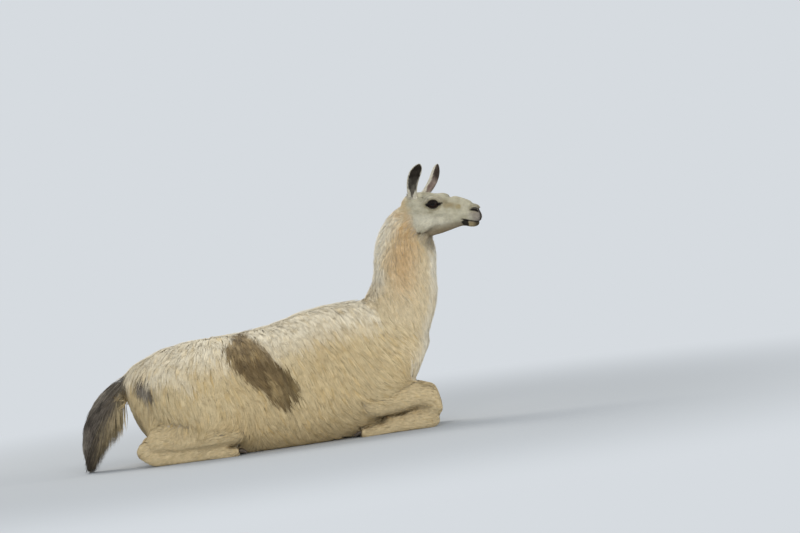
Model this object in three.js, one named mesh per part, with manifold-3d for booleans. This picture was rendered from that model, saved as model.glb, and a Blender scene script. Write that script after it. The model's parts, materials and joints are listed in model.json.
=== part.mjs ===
// A life-size adult llama at rest: it lies on its breast with all four legs folded under it,
// neck up and head turned a little to its right.
// Millimetres. +X runs towards the head, +Y towards the animal's left, +Z up, and the floor is Z = 0.
// The solids are the outline of the fleece: every named part is one closed body.

import * as THREE from "three";
import { mergeVertices } from "three/addons/utils/BufferGeometryUtils.js";
import Module from "manifold-3d";

const wasm = await Module();
wasm.setup();

// ---- Driving dimensions -------------------------------------------------------------------------

const gap = 0.4; // clearance between neighbouring parts
const withersHeight = 544;
const croupHeight = 481;
const barrelHalfWidth = 252;
const bellyPress = 8; // how far the soft belly would reach below the floor before it flattens
const neckTopSideways = -14; // the neck's top leans a little to the right

const headYaw = -20; // degrees, turned to the animal's right
const headPitch = 12; // degrees, nose down
const occiput = { x: 598, z: 868 }; // where the back of the skull meets the neck's axis
const eyeRadius = 20;
const eyePlace = { forward: 121, out: 57, up: 36 };
const earLength = 148;
const earHalfWidth = 24;
const earWall = 5;

const kneeSpread = 104; // half the distance between the fore knees
const stifleSpread = 205;
const hockSpread = 158;
const toeSpread = 17; // half the distance between the two toes of a foot
const nailLength = 30;

// ---- Lofted bodies ------------------------------------------------------------------------------

const sideways = new THREE.Vector3(0, 1, 0);
const upwards = new THREE.Vector3(0, 0, 1);

// One ring of a loft: `half` to either side, `up` and `down` from its centre, squarer as `power` grows.
// `taper` narrows the lower half towards its lowest point, and `crown` the upper half.
function ringPoints(frame, count) {
  const points = [];
  for (let i = 0; i < count; i++) {
    const angle = (2 * Math.PI * i) / count;
    const across = Math.cos(angle);
    const along = Math.sin(angle);
    const bend = 2 / frame.power;
    const reach = along > 0 ? frame.up : frame.down;
    const narrowing = (along > 0 ? frame.crown : frame.taper) * Math.abs(along);
    const width = frame.half * (1 - narrowing) * Math.sign(across) * Math.abs(across) ** bend;
    const height = reach * Math.sign(along) * Math.abs(along) ** bend;
    points.push(frame.at.clone().addScaledVector(frame.side, width).addScaledVector(frame.rise, height));
  }
  return points;
}

// Rings joined into one closed body, with a cap point at each end.
function skinRings(rings, firstCap, lastCap) {
  const count = rings[0].length;
  const points = [...rings.flat(), firstCap, lastCap];
  const faces = [];
  for (let r = 0; r + 1 < rings.length; r++) {
    for (let i = 0; i < count; i++) {
      const next = (i + 1) % count;
      const a = r * count + i;
      const b = r * count + next;
      const c = a + count;
      const d = b + count;
      faces.push(a, b, d, a, d, c);
    }
  }
  const lastRing = (rings.length - 1) * count;
  for (let i = 0; i < count; i++) {
    const next = (i + 1) % count;
    faces.push(rings.length * count, next, i);
    faces.push(rings.length * count + 1, lastRing + i, lastRing + next);
  }
  const geometry = new THREE.BufferGeometry().setFromPoints(points).setIndex(faces);
  return facingOut(geometry);
}

// Six times the volume that the faces enclose: negative when they point inwards.
function signedVolume(geometry) {
  const place = geometry.getAttribute("position");
  const index = geometry.getIndex().array;
  const corner = [new THREE.Vector3(), new THREE.Vector3(), new THREE.Vector3()];
  let sum = 0;
  for (let i = 0; i < index.length; i += 3) {
    corner.forEach((v, k) => v.fromBufferAttribute(place, index[i + k]));
    sum += corner[0].dot(corner[1].clone().cross(corner[2]));
  }
  return sum;
}

function facingOut(geometry) {
  if (signedVolume(geometry) < 0) geometry.setIndex(Array.from(geometry.getIndex().array).reverse());
  return geometry;
}

// A smooth body through a few stations {at, half, up, down, power}. `upright` keeps every ring
// vertical; otherwise the rings stand square to the line through the centres. Each end closes in a
// dome, `dome` of its radius deep, with a ring at each of `domeRings`.
// `grow` makes the same body that much larger all round, for cutting clearance.
function loft(stations, options) {
  const { count, steps, upright = false, grow = 0, dome = 0.6, domeRings = [0.6] } = options;
  const centres = new THREE.CatmullRomCurve3(stations.map((s) => new THREE.Vector3(...s.at)));
  const sizes = new THREE.CatmullRomCurve3(
    stations.map((s) => new THREE.Vector3(s.half, s.up ?? s.half, s.down ?? s.up ?? s.half)),
  );
  const last = (stations.length - 1) * steps;
  const frames = [];
  for (let i = 0; i <= last; i++) {
    const t = i / last;
    const station = stations[Math.min(stations.length - 1, Math.round(i / steps))];
    const size = sizes.getPoint(t);
    const tangent = centres.getPoint(Math.min(1, t + 0.01)).sub(centres.getPoint(Math.max(0, t - 0.01)));
    tangent.normalize();
    if (upright) tangent.set(1, 0, 0);
    const side = sideways.clone().addScaledVector(tangent, -tangent.y).normalize();
    const rise = upright ? upwards.clone() : tangent.clone().cross(side).normalize();
    frames.push({
      at: centres.getPoint(t),
      side,
      rise,
      tangent,
      half: size.x + grow,
      up: size.y + grow,
      down: size.z + grow,
      power: station.power ?? 2,
      taper: station.taper ?? 0,
      crown: station.crown ?? 0,
    });
  }
  const first = frames[0];
  const end = frames[frames.length - 1];
  const domed = (frame, direction, share) => {
    const depth = dome * Math.min(frame.half, frame.up) * Math.sin(share * (Math.PI / 2));
    const shrink = Math.cos(share * (Math.PI / 2));
    return {
      ...frame,
      at: frame.at.clone().addScaledVector(frame.tangent, direction * depth),
      half: frame.half * shrink,
      up: frame.up * shrink,
      down: frame.down * shrink,
    };
  };
  const opening = [...domeRings].reverse().map((share) => domed(first, -1, share));
  const closing = domeRings.map((share) => domed(end, 1, share));
  const rings = [...opening, ...frames, ...closing].map((frame) => ringPoints(frame, count));
  return skinRings(rings, domed(first, -1, 1).at, domed(end, 1, 1).at);
}

// ---- Joining and cutting ------------------------------------------------------------------------

function solidOf(geometry) {
  const bare = geometry.clone();
  bare.deleteAttribute("normal");
  bare.deleteAttribute("uv");
  const merged = mergeVertices(bare, 1e-3);
  return new wasm.Manifold(
    new wasm.Mesh({
      numProp: 3,
      vertProperties: new Float32Array(merged.getAttribute("position").array),
      triVerts: new Uint32Array(merged.getIndex().array),
    }),
  );
}

function geometryOf(solid) {
  const mesh = solid.getMesh();
  const geometry = new THREE.BufferGeometry();
  geometry.setAttribute("position", new THREE.BufferAttribute(mesh.vertProperties, mesh.numProp));
  geometry.setIndex(new THREE.BufferAttribute(mesh.triVerts, 1));
  return geometry;
}

// The largest piece of a cut body: slivers that a cut leaves loose are dropped.
function largest(solid) {
  return solid.decompose().sort((a, b) => b.volume() - a.volume())[0];
}

function cutBy(solid, ...cutters) {
  return largest(cutters.reduce((kept, cutter) => kept.subtract(cutter), solid));
}

// Everything below the floor, which trims each resting part to a small flat.
const underFloor = solidOf(new THREE.BoxGeometry(4000, 2000, 400).translate(0, 0, -200));

// ---- Materials ----------------------------------------------------------------------------------

const finish = (color, roughness) => new THREE.MeshStandardMaterial({ color, roughness, metalness: 0 });
const fleece = finish(0xe0d6bf, 0.95);
const darkFleece = finish(0x5a5148, 0.95);
const faceFur = finish(0xd2cab6, 0.9);
const earFur = finish(0xc9c0ae, 0.9);
const eyeGloss = finish(0x1d1512, 0.1);
const nailHorn = finish(0x3c342c, 0.45);

function part(name, solid, material) {
  const mesh = new THREE.Mesh(geometryOf(solid), material);
  mesh.name = name;
  return mesh;
}

// ---- Trunk --------------------------------------------------------------------------------------

// Cross-sections from rump to breast: height of the back, underside, and half the width.
const trunkSections = [
  { x: -620, top: 374, bottom: 262, half: 54 },
  { x: -596, top: 400, bottom: 165, half: 112 },
  { x: -545, top: 425, bottom: 82, half: 163 },
  { x: -460, top: 458, bottom: 28, half: 205 },
  { x: -320, top: croupHeight, bottom: 4, half: 231 },
  { x: -160, top: croupHeight, bottom: -bellyPress, half: 247 },
  { x: -10, top: 497, bottom: -bellyPress, half: barrelHalfWidth },
  { x: 120, top: 530, bottom: -bellyPress, half: 246 },
  { x: 220, top: withersHeight, bottom: -2, half: 232 },
  { x: 320, top: 545, bottom: 14, half: 214 },
  { x: 412, top: 540, bottom: 54, half: 192 },
  { x: 500, top: 486, bottom: 136, half: 160 },
  { x: 556, top: 448, bottom: 226, half: 122 },
  { x: 594, top: 420, bottom: 296, half: 72 },
];
const widestLevel = 0.42; // share of the section's height where it is widest

function trunkStation({ x, top, bottom, half }) {
  const middle = bottom + widestLevel * (top - bottom);
  return { at: [x, 0, middle], half, up: top - middle, down: middle - bottom, power: 2.25 };
}

const trunkLoft = (grow) =>
  solidOf(loft(trunkSections.map(trunkStation), { count: 24, steps: 1, upright: true, grow, dome: 0.35 }));

// ---- Neck ---------------------------------------------------------------------------------------

// Centres from the breast to behind the jaw, with the depth towards nape and throat.
const neckSections = [
  { x: 448, z: 395, half: 152, nape: 154, throat: 172 },
  { x: 526, z: 520, half: 114, nape: 142, throat: 142 },
  { x: 552, z: 620, half: 92, nape: 128, throat: 126 },
  { x: 570, z: 718, half: 83, nape: 127, throat: 121 },
  { x: 597, z: 794, half: 75, nape: 108, throat: 98 },
  { x: 626, z: 840, half: 62, nape: 82, throat: 76 },
];

function neckStation({ x, z, half, nape, throat }, i) {
  const share = i / (neckSections.length - 1);
  return { at: [x, neckTopSideways * share, z], half, up: nape, down: throat, power: 2.15 };
}

const neckLoft = () => solidOf(loft(neckSections.map(neckStation), { count: 18, steps: 2, dome: 0.3 }));

// ---- Head, in its own frame: +X forward along the face, +Y left, +Z up ---------------------------

// Sections from the occiput to the lips: crown or bridge above, jaw below, and half the width.
// `level` is the height of the widest part, and `jaw` how far the section narrows below it.
const headSections = [
  { forward: -12, top: 48, bottom: -30, half: 46, level: 12, jaw: 0 },
  { forward: 20, top: 70, bottom: -74, half: 62, level: 10, jaw: 0.12 },
  { forward: 62, top: 79, bottom: -96, half: 70, level: 16, jaw: 0.26 },
  { forward: 104, top: 77, bottom: -103, half: 74, level: 26, jaw: 0.36 },
  { forward: 138, top: 78, bottom: -91, half: 68, level: 26, jaw: 0.36 },
  { forward: 172, top: 69, bottom: -75, half: 51, level: 14, jaw: 0.3 },
  { forward: 206, top: 71, bottom: -59, half: 41, level: 4, jaw: 0.2 },
  { forward: 236, top: 66, bottom: -47, half: 38, level: 0, jaw: 0.12 },
  { forward: 266, top: 55, bottom: -46, half: 37, level: -2, jaw: 0.1 },
  { forward: 290, top: 41, bottom: -41, half: 34, level: -4, jaw: 0.1 },
  { forward: 304, top: 24, bottom: -26, half: 25, level: -6, jaw: 0 },
];
const crownNarrowing = 0.16;

function headStation({ forward, top, bottom, half, level, jaw }) {
  const size = { half, up: top - level, down: level - bottom };
  return { at: [forward, 0, level], ...size, power: 2.2, taper: jaw, crown: crownNarrowing };
}

const headFrame = new THREE.Group();
headFrame.name = "headFrame";
headFrame.position.set(occiput.x, neckTopSideways, occiput.z);
headFrame.rotation.set(0, THREE.MathUtils.degToRad(headPitch), THREE.MathUtils.degToRad(headYaw), "ZYX");
headFrame.updateMatrix();

const headShape = (grow) =>
  loft(headSections.map(headStation), { count: 20, steps: 2, upright: true, grow, dome: 0.3 });

// The mouth line runs forward from its corner, dropping a little to the lips.
const mouthCorner = { forward: 243, up: -16 };
const mouthRise = -5; // degrees
const jawHinge = { forward: 104 };

function jawZone(grow) {
  const length = 260;
  const depth = 120;
  const box = new THREE.BoxGeometry(length, 200, depth);
  box.translate(length / 2, 0, -depth / 2 + grow);
  box.rotateY(-THREE.MathUtils.degToRad(mouthRise));
  const back = jawHinge.forward - grow;
  const drop = (mouthCorner.forward - back) * Math.tan(THREE.MathUtils.degToRad(mouthRise));
  return solidOf(box.translate(back, 0, mouthCorner.up - drop));
}

// ---- Ears ---------------------------------------------------------------------------------------

// A long scoop: its mouth faces `turn` degrees outwards from straight ahead.
const earProfile = [
  { share: 0, width: 0.72, depth: 0.72 },
  { share: 0.2, width: 0.84, depth: 0.8 },
  { share: 0.4, width: 0.92, depth: 0.78 },
  { share: 0.6, width: 1, depth: 0.68 },
  { share: 0.78, width: 0.94, depth: 0.54 },
  { share: 0.92, width: 0.6, depth: 0.32 },
  { share: 0.99, width: 0.2, depth: 0.15 },
];
const earCurl = 13; // how far the middle of the ear bows outwards

// `narrow` and `flat` shrink one ear's width and depth.
function earShape({ narrow, flat }, inset, forwards) {
  const stations = earProfile.map(({ share, width, depth }) => ({
    at: [forwards, earCurl * Math.sin(share * Math.PI), share * earLength],
    half: Math.max(0.8, earHalfWidth * width * narrow - inset),
    up: Math.max(0.8, earHalfWidth * depth * flat - inset),
    power: 2,
  }));
  return loft(stations, { count: 10, steps: 1, dome: 0.5, domeRings: [] });
}

const ears = {
  ear_right: { side: -1, forward: 32, out: 47, up: 52, turn: 62, splay: 12, lean: 13, narrow: 1, flat: 1 },
  ear_left: { side: 1, forward: 45, out: 46, up: 56, turn: -34, splay: 29, lean: 13, narrow: 0.88, flat: 0.7 },
};

function placeEar(geometry, ear) {
  const degrees = THREE.MathUtils.degToRad;
  if (ear.side < 0) geometry.scale(1, -1, 1);
  facingOut(geometry);
  geometry.rotateZ(degrees(ear.side * ear.turn));
  geometry.rotateX(degrees(-ear.side * ear.splay));
  geometry.rotateY(degrees(ear.lean));
  return geometry.translate(ear.forward, ear.side * ear.out, ear.up);
}

function earSolid(ear) {
  const outer = solidOf(placeEar(earShape(ear, 0, 0), ear));
  const hollow = solidOf(placeEar(earShape(ear, earWall, 15), ear));
  return cutBy(outer, hollow);
}

// ---- Eyes ---------------------------------------------------------------------------------------

const eyeBall = (side, grow) =>
  new THREE.SphereGeometry(eyeRadius + grow, 12, 8)
    .rotateX(Math.PI / 2)
    .translate(eyePlace.forward, side * eyePlace.out, eyePlace.up);

// ---- Legs ---------------------------------------------------------------------------------------

// Each stretch of flesh as stations: `at` is [x, outwards from the middle, z].
const legSections = {
  foreleg: {
    upper_arm: [
      { at: [486, 112, 306], half: 64, up: 84 },
      { at: [424, 136, 246], half: 70, up: 90 },
      { at: [346, 150, 178], half: 58, up: 74 },
    ],
    forearm: [
      { at: [330, 150, 128], half: 54, up: 62 },
      { at: [430, 136, 130], half: 52, up: 60 },
      { at: [520, 116, 136], half: 50, up: 56 },
      { at: [574, kneeSpread, 118], half: 53, up: 58 },
      { at: [596, kneeSpread, 66], half: 46, up: 36 },
    ],
    cannon: [
      { at: [580, kneeSpread, 42], half: 41, up: 46 },
      { at: [530, kneeSpread, 38], half: 36, up: 42 },
      { at: [456, kneeSpread + 4, 34], half: 32, up: 37 },
      { at: [396, kneeSpread + 8, 33], half: 35, up: 36 },
    ],
  },
  hindleg: {
    thigh: [
      { at: [-470, 112, 326], half: 92, up: 112 },
      { at: [-386, 148, 258], half: 98, up: 134 },
      { at: [-280, 180, 194], half: 82, up: 122 },
      { at: [-190, stifleSpread - 6, 142], half: 58, up: 92 },
    ],
    shank: [
      { at: [-196, stifleSpread - 4, 104], half: 52, up: 62 },
      { at: [-300, 194, 104], half: 55, up: 64 },
      { at: [-420, 176, 102], half: 50, up: 60 },
      { at: [-530, hockSpread + 4, 98], half: 39, up: 52 },
    ],
    cannon: [
      { at: [-576, hockSpread, 74], half: 34, up: 42 },
      { at: [-520, hockSpread + 2, 38], half: 33, up: 42 },
      { at: [-410, hockSpread + 12, 34], half: 31, up: 37 },
      { at: [-308, hockSpread + 22, 33], half: 35, up: 36 },
    ],
  },
};

// A foot: from the fetlock to the toes' tips, pointing back under the breast or forward beside the belly.
const feet = {
  foreleg: { from: [398, kneeSpread + 8, 27], to: [292, kneeSpread + 14, 17] },
  hindleg: { from: [-310, hockSpread + 22, 27], to: [-198, hockSpread + 28, 17] },
};

function limb(stations, side, grow = 0) {
  const placed = stations.map((s) => ({ ...s, at: [s.at[0], side * s.at[1], s.at[2]], power: 2.1 }));
  return solidOf(loft(placed, { count: 10, steps: 1, grow, dome: 0.7 }));
}

const toeHalf = 19;
const nailHalf = 9;

function toeStations(foot, toe) {
  const [x0, y0, z0] = foot.from;
  const [x1, y1, z1] = foot.to;
  return [
    { at: [x0, y0 + 0.4 * toe * toeSpread, z0], half: 25, up: 29 },
    { at: [0.5 * (x0 + x1), 0.5 * (y0 + y1) + toe * toeSpread, 0.5 * (z0 + z1) + 2], half: toeHalf, up: 24 },
    { at: [x1, y1 + toe * (toeSpread + 4), z1], half: toeHalf - 3, up: 19 },
  ];
}

function nailStations(foot, toe) {
  const [x0] = foot.from;
  const [x1, y1, z1] = foot.to;
  const forward = Math.sign(x1 - x0);
  const y = y1 + toe * (toeSpread + 5);
  return [
    { at: [x1 + forward * 4, y, z1 + 3], half: nailHalf, up: nailHalf },
    { at: [x1 + forward * (4 + 0.5 * nailLength), y, z1 - 1], half: 0.8 * nailHalf, up: 0.75 * nailHalf },
    { at: [x1 + forward * nailLength, y, z1 - 9], half: 0.35 * nailHalf, up: 0.35 * nailHalf },
  ];
}

const toeSolid = (stations, grow) =>
  solidOf(loft(stations, { count: 8, steps: 1, grow, dome: 0.8, domeRings: [] }));
const nailSolid = (stations, grow) =>
  solidOf(loft(stations, { count: 6, steps: 1, grow, dome: 0.6, domeRings: [] }));

// ---- Tail ---------------------------------------------------------------------------------------

const tailSections = [
  { at: [-588, 0, 340], half: 46, up: 42 },
  { at: [-652, 0, 318], half: 52, up: 46 },
  { at: [-706, 0, 270], half: 56, up: 48 },
  { at: [-748, 0, 212], half: 56, up: 48 },
  { at: [-779, 0, 148], half: 50, up: 45 },
  { at: [-795, 0, 84], half: 38, up: 36 },
  { at: [-800, 0, 34], half: 20, up: 20 },
];
const tailLoft = () => solidOf(loft(tailSections, { count: 12, steps: 1, dome: 0.5, domeRings: [] }));

// ---- Assembly -----------------------------------------------------------------------------------

const llama = new THREE.Group();
llama.name = "llama";

// Legs first: the trunk is then hollowed to take them.
const legCutters = [];

function buildLeg(kind, side, sideName) {
  const group = new THREE.Group();
  group.name = `${kind}_${sideName}`;
  const built = []; // grown copies of the bones already made, which the next ones are cut by
  Object.entries(legSections[kind]).forEach(([bone, stations]) => {
    const solid = cutBy(limb(stations, side), underFloor, ...built);
    built.push(limb(stations, side, gap));
    group.add(part(`${kind}_${bone}_${sideName}`, solid, fleece));
  });

  const foot = feet[kind];
  const place = (station) => ({ ...station, at: [station.at[0], side * station.at[1], station.at[2]] });
  const nails = [-1, 1].map((toe) => nailStations(foot, toe).map(place));
  const toes = [-1, 1].map((toe) => toeStations(foot, toe).map(place));
  const footSolid = toeSolid(toes[0], 0).add(toeSolid(toes[1], 0));
  const nailCutters = nails.map((stations) => nailSolid(stations, gap));
  group.add(part(`${kind}_foot_${sideName}`, cutBy(footSolid, underFloor, ...built, ...nailCutters), fleece));
  nails.forEach((stations, i) => {
    const outside = (i === 0) === (side > 0) ? "inner" : "outer";
    const solid = cutBy(nailSolid(stations, 0), underFloor);
    group.add(part(`${kind}_nail_${outside}_${sideName}`, solid, nailHorn));
  });
  legCutters.push(...built, ...toes.map((stations) => toeSolid(stations, gap)), ...nailCutters);
  return group;
}

const sides = { right: -1, left: 1 };
Object.entries(sides).forEach(([sideName, side]) => {
  llama.add(buildLeg("foreleg", side, sideName));
  llama.add(buildLeg("hindleg", side, sideName));
});

const trunk = cutBy(trunkLoft(0), underFloor, ...legCutters);
llama.add(part("trunk", trunk, fleece));
llama.add(part("tail", cutBy(tailLoft(), underFloor, trunkLoft(gap)), darkFleece));

const headInWorld = solidOf(headShape(gap).applyMatrix4(headFrame.matrix));
llama.add(part("neck", cutBy(neckLoft(), trunkLoft(gap), headInWorld, ...legCutters), fleece));

// The skull keeps sockets for the eyes and seats for the ears.
const eyeCutters = [-1, 1].map((side) => solidOf(eyeBall(side, gap)));
const headWhole = cutBy(solidOf(headShape(0)), ...eyeCutters);
headFrame.add(part("head", cutBy(headWhole, jawZone(gap)), faceFur));
headFrame.add(part("lower_jaw", largest(headWhole.intersect(jawZone(0))), faceFur));
Object.entries(sides).forEach(([sideName, side]) => {
  headFrame.add(part(`eye_${sideName}`, solidOf(eyeBall(side, 0)), eyeGloss));
});
Object.entries(ears).forEach(([name, ear]) => {
  headFrame.add(part(name, cutBy(earSolid(ear), solidOf(headShape(gap))), earFur));
});
llama.add(headFrame);

// The origin is the middle of the whole outline, on the floor.
const outline = new THREE.Box3().setFromObject(llama, true);
const middle = outline.getCenter(new THREE.Vector3());
llama.position.set(-middle.x, -middle.y, -outline.min.z);

export default llama;
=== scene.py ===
import json
import math

import bmesh
import bpy
import numpy as np
import openvdb
from mathutils import Matrix, Vector, kdtree

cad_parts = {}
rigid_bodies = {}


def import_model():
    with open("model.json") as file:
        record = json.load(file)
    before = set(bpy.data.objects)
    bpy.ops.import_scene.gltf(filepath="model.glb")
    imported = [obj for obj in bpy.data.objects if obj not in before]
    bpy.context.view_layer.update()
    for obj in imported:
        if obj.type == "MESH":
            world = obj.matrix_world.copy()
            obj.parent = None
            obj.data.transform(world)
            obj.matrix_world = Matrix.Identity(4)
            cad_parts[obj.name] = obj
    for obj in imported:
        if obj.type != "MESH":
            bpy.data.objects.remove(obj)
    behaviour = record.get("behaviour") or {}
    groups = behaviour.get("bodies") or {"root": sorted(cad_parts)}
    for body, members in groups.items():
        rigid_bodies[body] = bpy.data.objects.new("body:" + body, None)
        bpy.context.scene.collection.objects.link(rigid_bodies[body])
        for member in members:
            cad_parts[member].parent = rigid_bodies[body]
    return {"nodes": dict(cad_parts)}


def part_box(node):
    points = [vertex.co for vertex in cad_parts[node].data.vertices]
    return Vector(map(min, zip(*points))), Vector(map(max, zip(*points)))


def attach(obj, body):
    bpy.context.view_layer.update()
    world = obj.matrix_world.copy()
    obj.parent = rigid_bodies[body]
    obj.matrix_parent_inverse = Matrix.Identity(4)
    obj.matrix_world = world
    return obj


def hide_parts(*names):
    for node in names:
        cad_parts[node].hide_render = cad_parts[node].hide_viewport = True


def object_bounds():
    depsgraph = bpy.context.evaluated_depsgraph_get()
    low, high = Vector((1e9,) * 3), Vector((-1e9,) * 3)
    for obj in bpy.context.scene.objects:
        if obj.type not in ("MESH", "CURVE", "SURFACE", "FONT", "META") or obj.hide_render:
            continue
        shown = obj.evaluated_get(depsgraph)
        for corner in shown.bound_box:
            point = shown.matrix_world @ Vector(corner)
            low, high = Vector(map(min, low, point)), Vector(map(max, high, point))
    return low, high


# A life-size llama lying on its breast, head turned a little to its right.
# One skin stands for all the flesh, and tufts of wool and fur lie over it.

for leftover in list(bpy.data.objects):
    bpy.data.objects.remove(leftover)
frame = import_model()
cadBox = [list(corner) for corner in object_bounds()]
dice = np.random.default_rng(11)


# small sums that everything below uses

def smoothStep(low, high, x):
    t = np.clip((x - low) / (high - low), 0, 1)
    return t * t * (3 - 2 * t)


def bell(x, width):
    return np.exp(-((x / width) ** 2))


def unitRows(rows):
    return rows / np.maximum(np.linalg.norm(rows, axis=1, keepdims=True), 1e-9)


def mixRows(a, b, share):
    return a + (b - a) * share[:, None]


def folded(places):  # the left side laid over the right one
    return places * [1, 0, 1] + np.abs(places) * [0, 1, 0]


def linearColour(red, green, blue):  # from the 0 to 255 values of a paint card
    card = np.array([red, green, blue]) / 255
    return np.where(card < 0.04045, card / 12.92, ((card + 0.055) / 1.055) ** 2.4)


def linkObject(name, mesh):
    made = bpy.data.objects.new(name, mesh)
    bpy.context.scene.collection.objects.link(made)
    return made


def meshFrom(name, points, faces):
    mesh = bpy.data.meshes.new(name)
    mesh.from_pydata(np.asarray(points).tolist(), [], faces if isinstance(faces, list) else faces.tolist())
    mesh.validate()
    return mesh


# smooth value noise, the same on every run

class Noise:
    def __init__(self, cell, seed):
        self.cell = cell
        self.table = np.random.default_rng(seed).uniform(-1, 1, (64, 64, 64))

    def at(self, points):
        place = points / self.cell
        base = np.floor(place).astype(int)
        part = place - base
        part = part * part * (3 - 2 * part)
        total = np.zeros(len(points))
        for corner in np.ndindex(2, 2, 2):
            weight = np.prod(np.where(corner, part, 1 - part), axis=1)
            i, j, k = ((base + corner) % 64).T
            total += weight * self.table[i, j, k]
        return total


# distances to a surface, kept on a regular grid: below zero inside

class Field:
    def __init__(self, values, low, step):
        self.values, self.low, self.step = values, np.asarray(low, float), step

    def at(self, points):
        place = (points - self.low) / self.step
        most = np.array(self.values.shape) - 2
        base = np.clip(np.floor(place).astype(int), 0, most)
        part = np.clip(place - base, 0, 1)
        flat = self.values.ravel()
        row, plane = self.values.shape[2], self.values.shape[1] * self.values.shape[2]
        start = base[:, 0] * plane + base[:, 1] * row + base[:, 2]
        total = np.zeros(len(points))
        for i, j, k in np.ndindex(2, 2, 2):
            weight = (
                (part[:, 0] if i else 1 - part[:, 0])
                * (part[:, 1] if j else 1 - part[:, 1])
                * (part[:, 2] if k else 1 - part[:, 2])
            )
            total += weight * flat[start + i * plane + j * row + k]
        return total

    def slope(self, points):
        sides = []
        for axis in range(3):
            nudge = np.zeros(3)
            nudge[axis] = self.step
            sides.append(self.at(points + nudge) - self.at(points - nudge))
        return unitRows(np.stack(sides, axis=1))


def blurred(values, width):  # width in cells
    reach = int(math.ceil(2.6 * width))
    weights = np.exp(-0.5 * (np.arange(-reach, reach + 1) / width) ** 2)
    weights = (weights / weights.sum()).astype(np.float32)
    for axis in range(3):
        values = np.moveaxis(values, axis, 0)
        padded = np.concatenate([values[:1]] * reach + [values] + [values[-1:]] * reach)
        values = sum(w * padded[i:i + len(values)] for i, w in enumerate(weights))
        values = np.moveaxis(values, 0, axis)
    return np.ascontiguousarray(values)


def meshPoints(mesh):
    places = np.empty(len(mesh.vertices) * 3)
    mesh.vertices.foreach_get("co", places)
    return places.reshape(-1, 3)


def meshTriangles(mesh):
    mesh.calc_loop_triangles()
    corners = np.empty(len(mesh.loop_triangles) * 3, np.int32)
    mesh.loop_triangles.foreach_get("vertices", corners)
    return corners.reshape(-1, 3)


def nodeSurfaces(names):
    points, faces, count = [], [], 0
    for name in names:
        mesh = frame["nodes"][name].data
        points.append(meshPoints(mesh))
        faces.append(meshTriangles(mesh) + count)
        count += len(points[-1])
    return np.vstack(points), np.vstack(faces)


def distanceGrid(points, step, reach, **faces):  # faces as triangles=, quads= or both
    scale = openvdb.createLinearTransform(voxelSize=step)
    faces = {kind: corners.astype(np.uint32) for kind, corners in faces.items()}
    return openvdb.FloatGrid.createLevelSetFromPolygons(
        points.astype(np.float32), transform=scale, halfWidth=reach / step, **faces)


def readGrid(grid, low, shape, step):
    values = np.empty(shape, np.float32)
    grid.copyToArray(values, ijk=tuple(int(round(v / step)) for v in low))
    return values


def gridOver(low, high, step):
    first = np.floor(np.asarray(low) / step).astype(int)
    last = np.ceil(np.asarray(high) / step).astype(int)
    return first * step, tuple(last - first + 1)


def outlineField(names, low, high, step, reach, close):
    # the nodes stand a hair apart: closing that gap first makes them one body
    start, shape = gridOver(low, high, step)
    points, triangles = nodeSurfaces(names)
    apart = distanceGrid(points, step, 4 * step, triangles=triangles)
    points, quads = apart.convertToQuads(isovalue=close)
    whole = distanceGrid(points, step, reach, quads=quads)
    return Field(readGrid(whole, start, shape, step) + close, start, step)


def gridPoints(field, chosen):
    return field.low + field.step * np.argwhere(chosen)


# which CAD nodes belong to which kind of coat

names = sorted(frame["nodes"])
legParts = ("_forearm_", "_shank_", "_cannon_", "_foot_")
groups = {
    "trunk": [n for n in names if n == "trunk" or "thigh" in n or "upper_arm" in n],
    "neck": ["neck"],
    "head": ["head", "lower_jaw"],
    "tail": ["tail"],
    "legs": [n for n in names if any(part in n for part in legParts)],
}
fleshNames = sum(groups.values(), [])
groupNames = list(groups)

boxes = {name: [np.array(corner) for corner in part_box(name)] for name in names}
groupPlan = {"step": 0.01, "margin": 0.08, "reach": 0.12}
groupStep, groupMargin = groupPlan["step"], groupPlan["margin"]
cadLow, cadHigh = np.array(cadBox[0]), np.array(cadBox[1])
groupLow, groupShape = gridOver(cadLow - groupMargin, cadHigh + groupMargin, groupStep)
groupFields = {}
for group, members in groups.items():
    points, triangles = nodeSurfaces(members)
    near = distanceGrid(points, groupStep, groupPlan["reach"], triangles=triangles)
    groupFields[group] = Field(readGrid(near, groupLow, groupShape, groupStep), groupLow, groupStep)


def regionShares(points, softness=0.012):
    away = np.stack([field.at(points) for field in groupFields.values()], axis=1)
    shares = np.exp(-(away - away.min(axis=1, keepdims=True)) / softness)
    return shares / shares.sum(axis=1, keepdims=True)


# the head's own axes, from the two eyes: forward along the face, out to the left, up

headPlan = {"pitch": 12, "pollBehindEyes": 0.121, "pollBelowEyes": 0.036}
eyeMiddle = {side: sum(boxes["eye_" + side]) / 2 for side in ("right", "left")}
headOut = unitRows((eyeMiddle["left"] - eyeMiddle["right"])[None])[0]
headLevel = np.array([headOut[1], -headOut[0], 0])
headPitch = math.radians(headPlan["pitch"])
headForward = headLevel * math.cos(headPitch) - np.array([0, 0, math.sin(headPitch)])
headUp = np.cross(headForward, headOut)
headAxes = np.stack([headForward, headOut, headUp])
betweenEyes = (eyeMiddle["left"] + eyeMiddle["right"]) / 2
poll = betweenEyes - headPlan["pollBehindEyes"] * headForward - headPlan["pollBelowEyes"] * headUp


def toHead(points):  # millimetres forward of the poll, out to the left, up
    return (points - poll) @ headAxes.T * 1000


def fromHead(places):
    return poll + np.asarray(places, float) @ headAxes / 1000


# how deep the coat is over each stretch of skin

coatDepth = {"trunk": 0.016, "neck": 0.013, "head": 0.0035, "tail": 0.022, "legs": 0.007}
floorPress = {"depth": 0.0015, "height": 0.05}  # the coat is pressed flat near the floor


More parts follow.
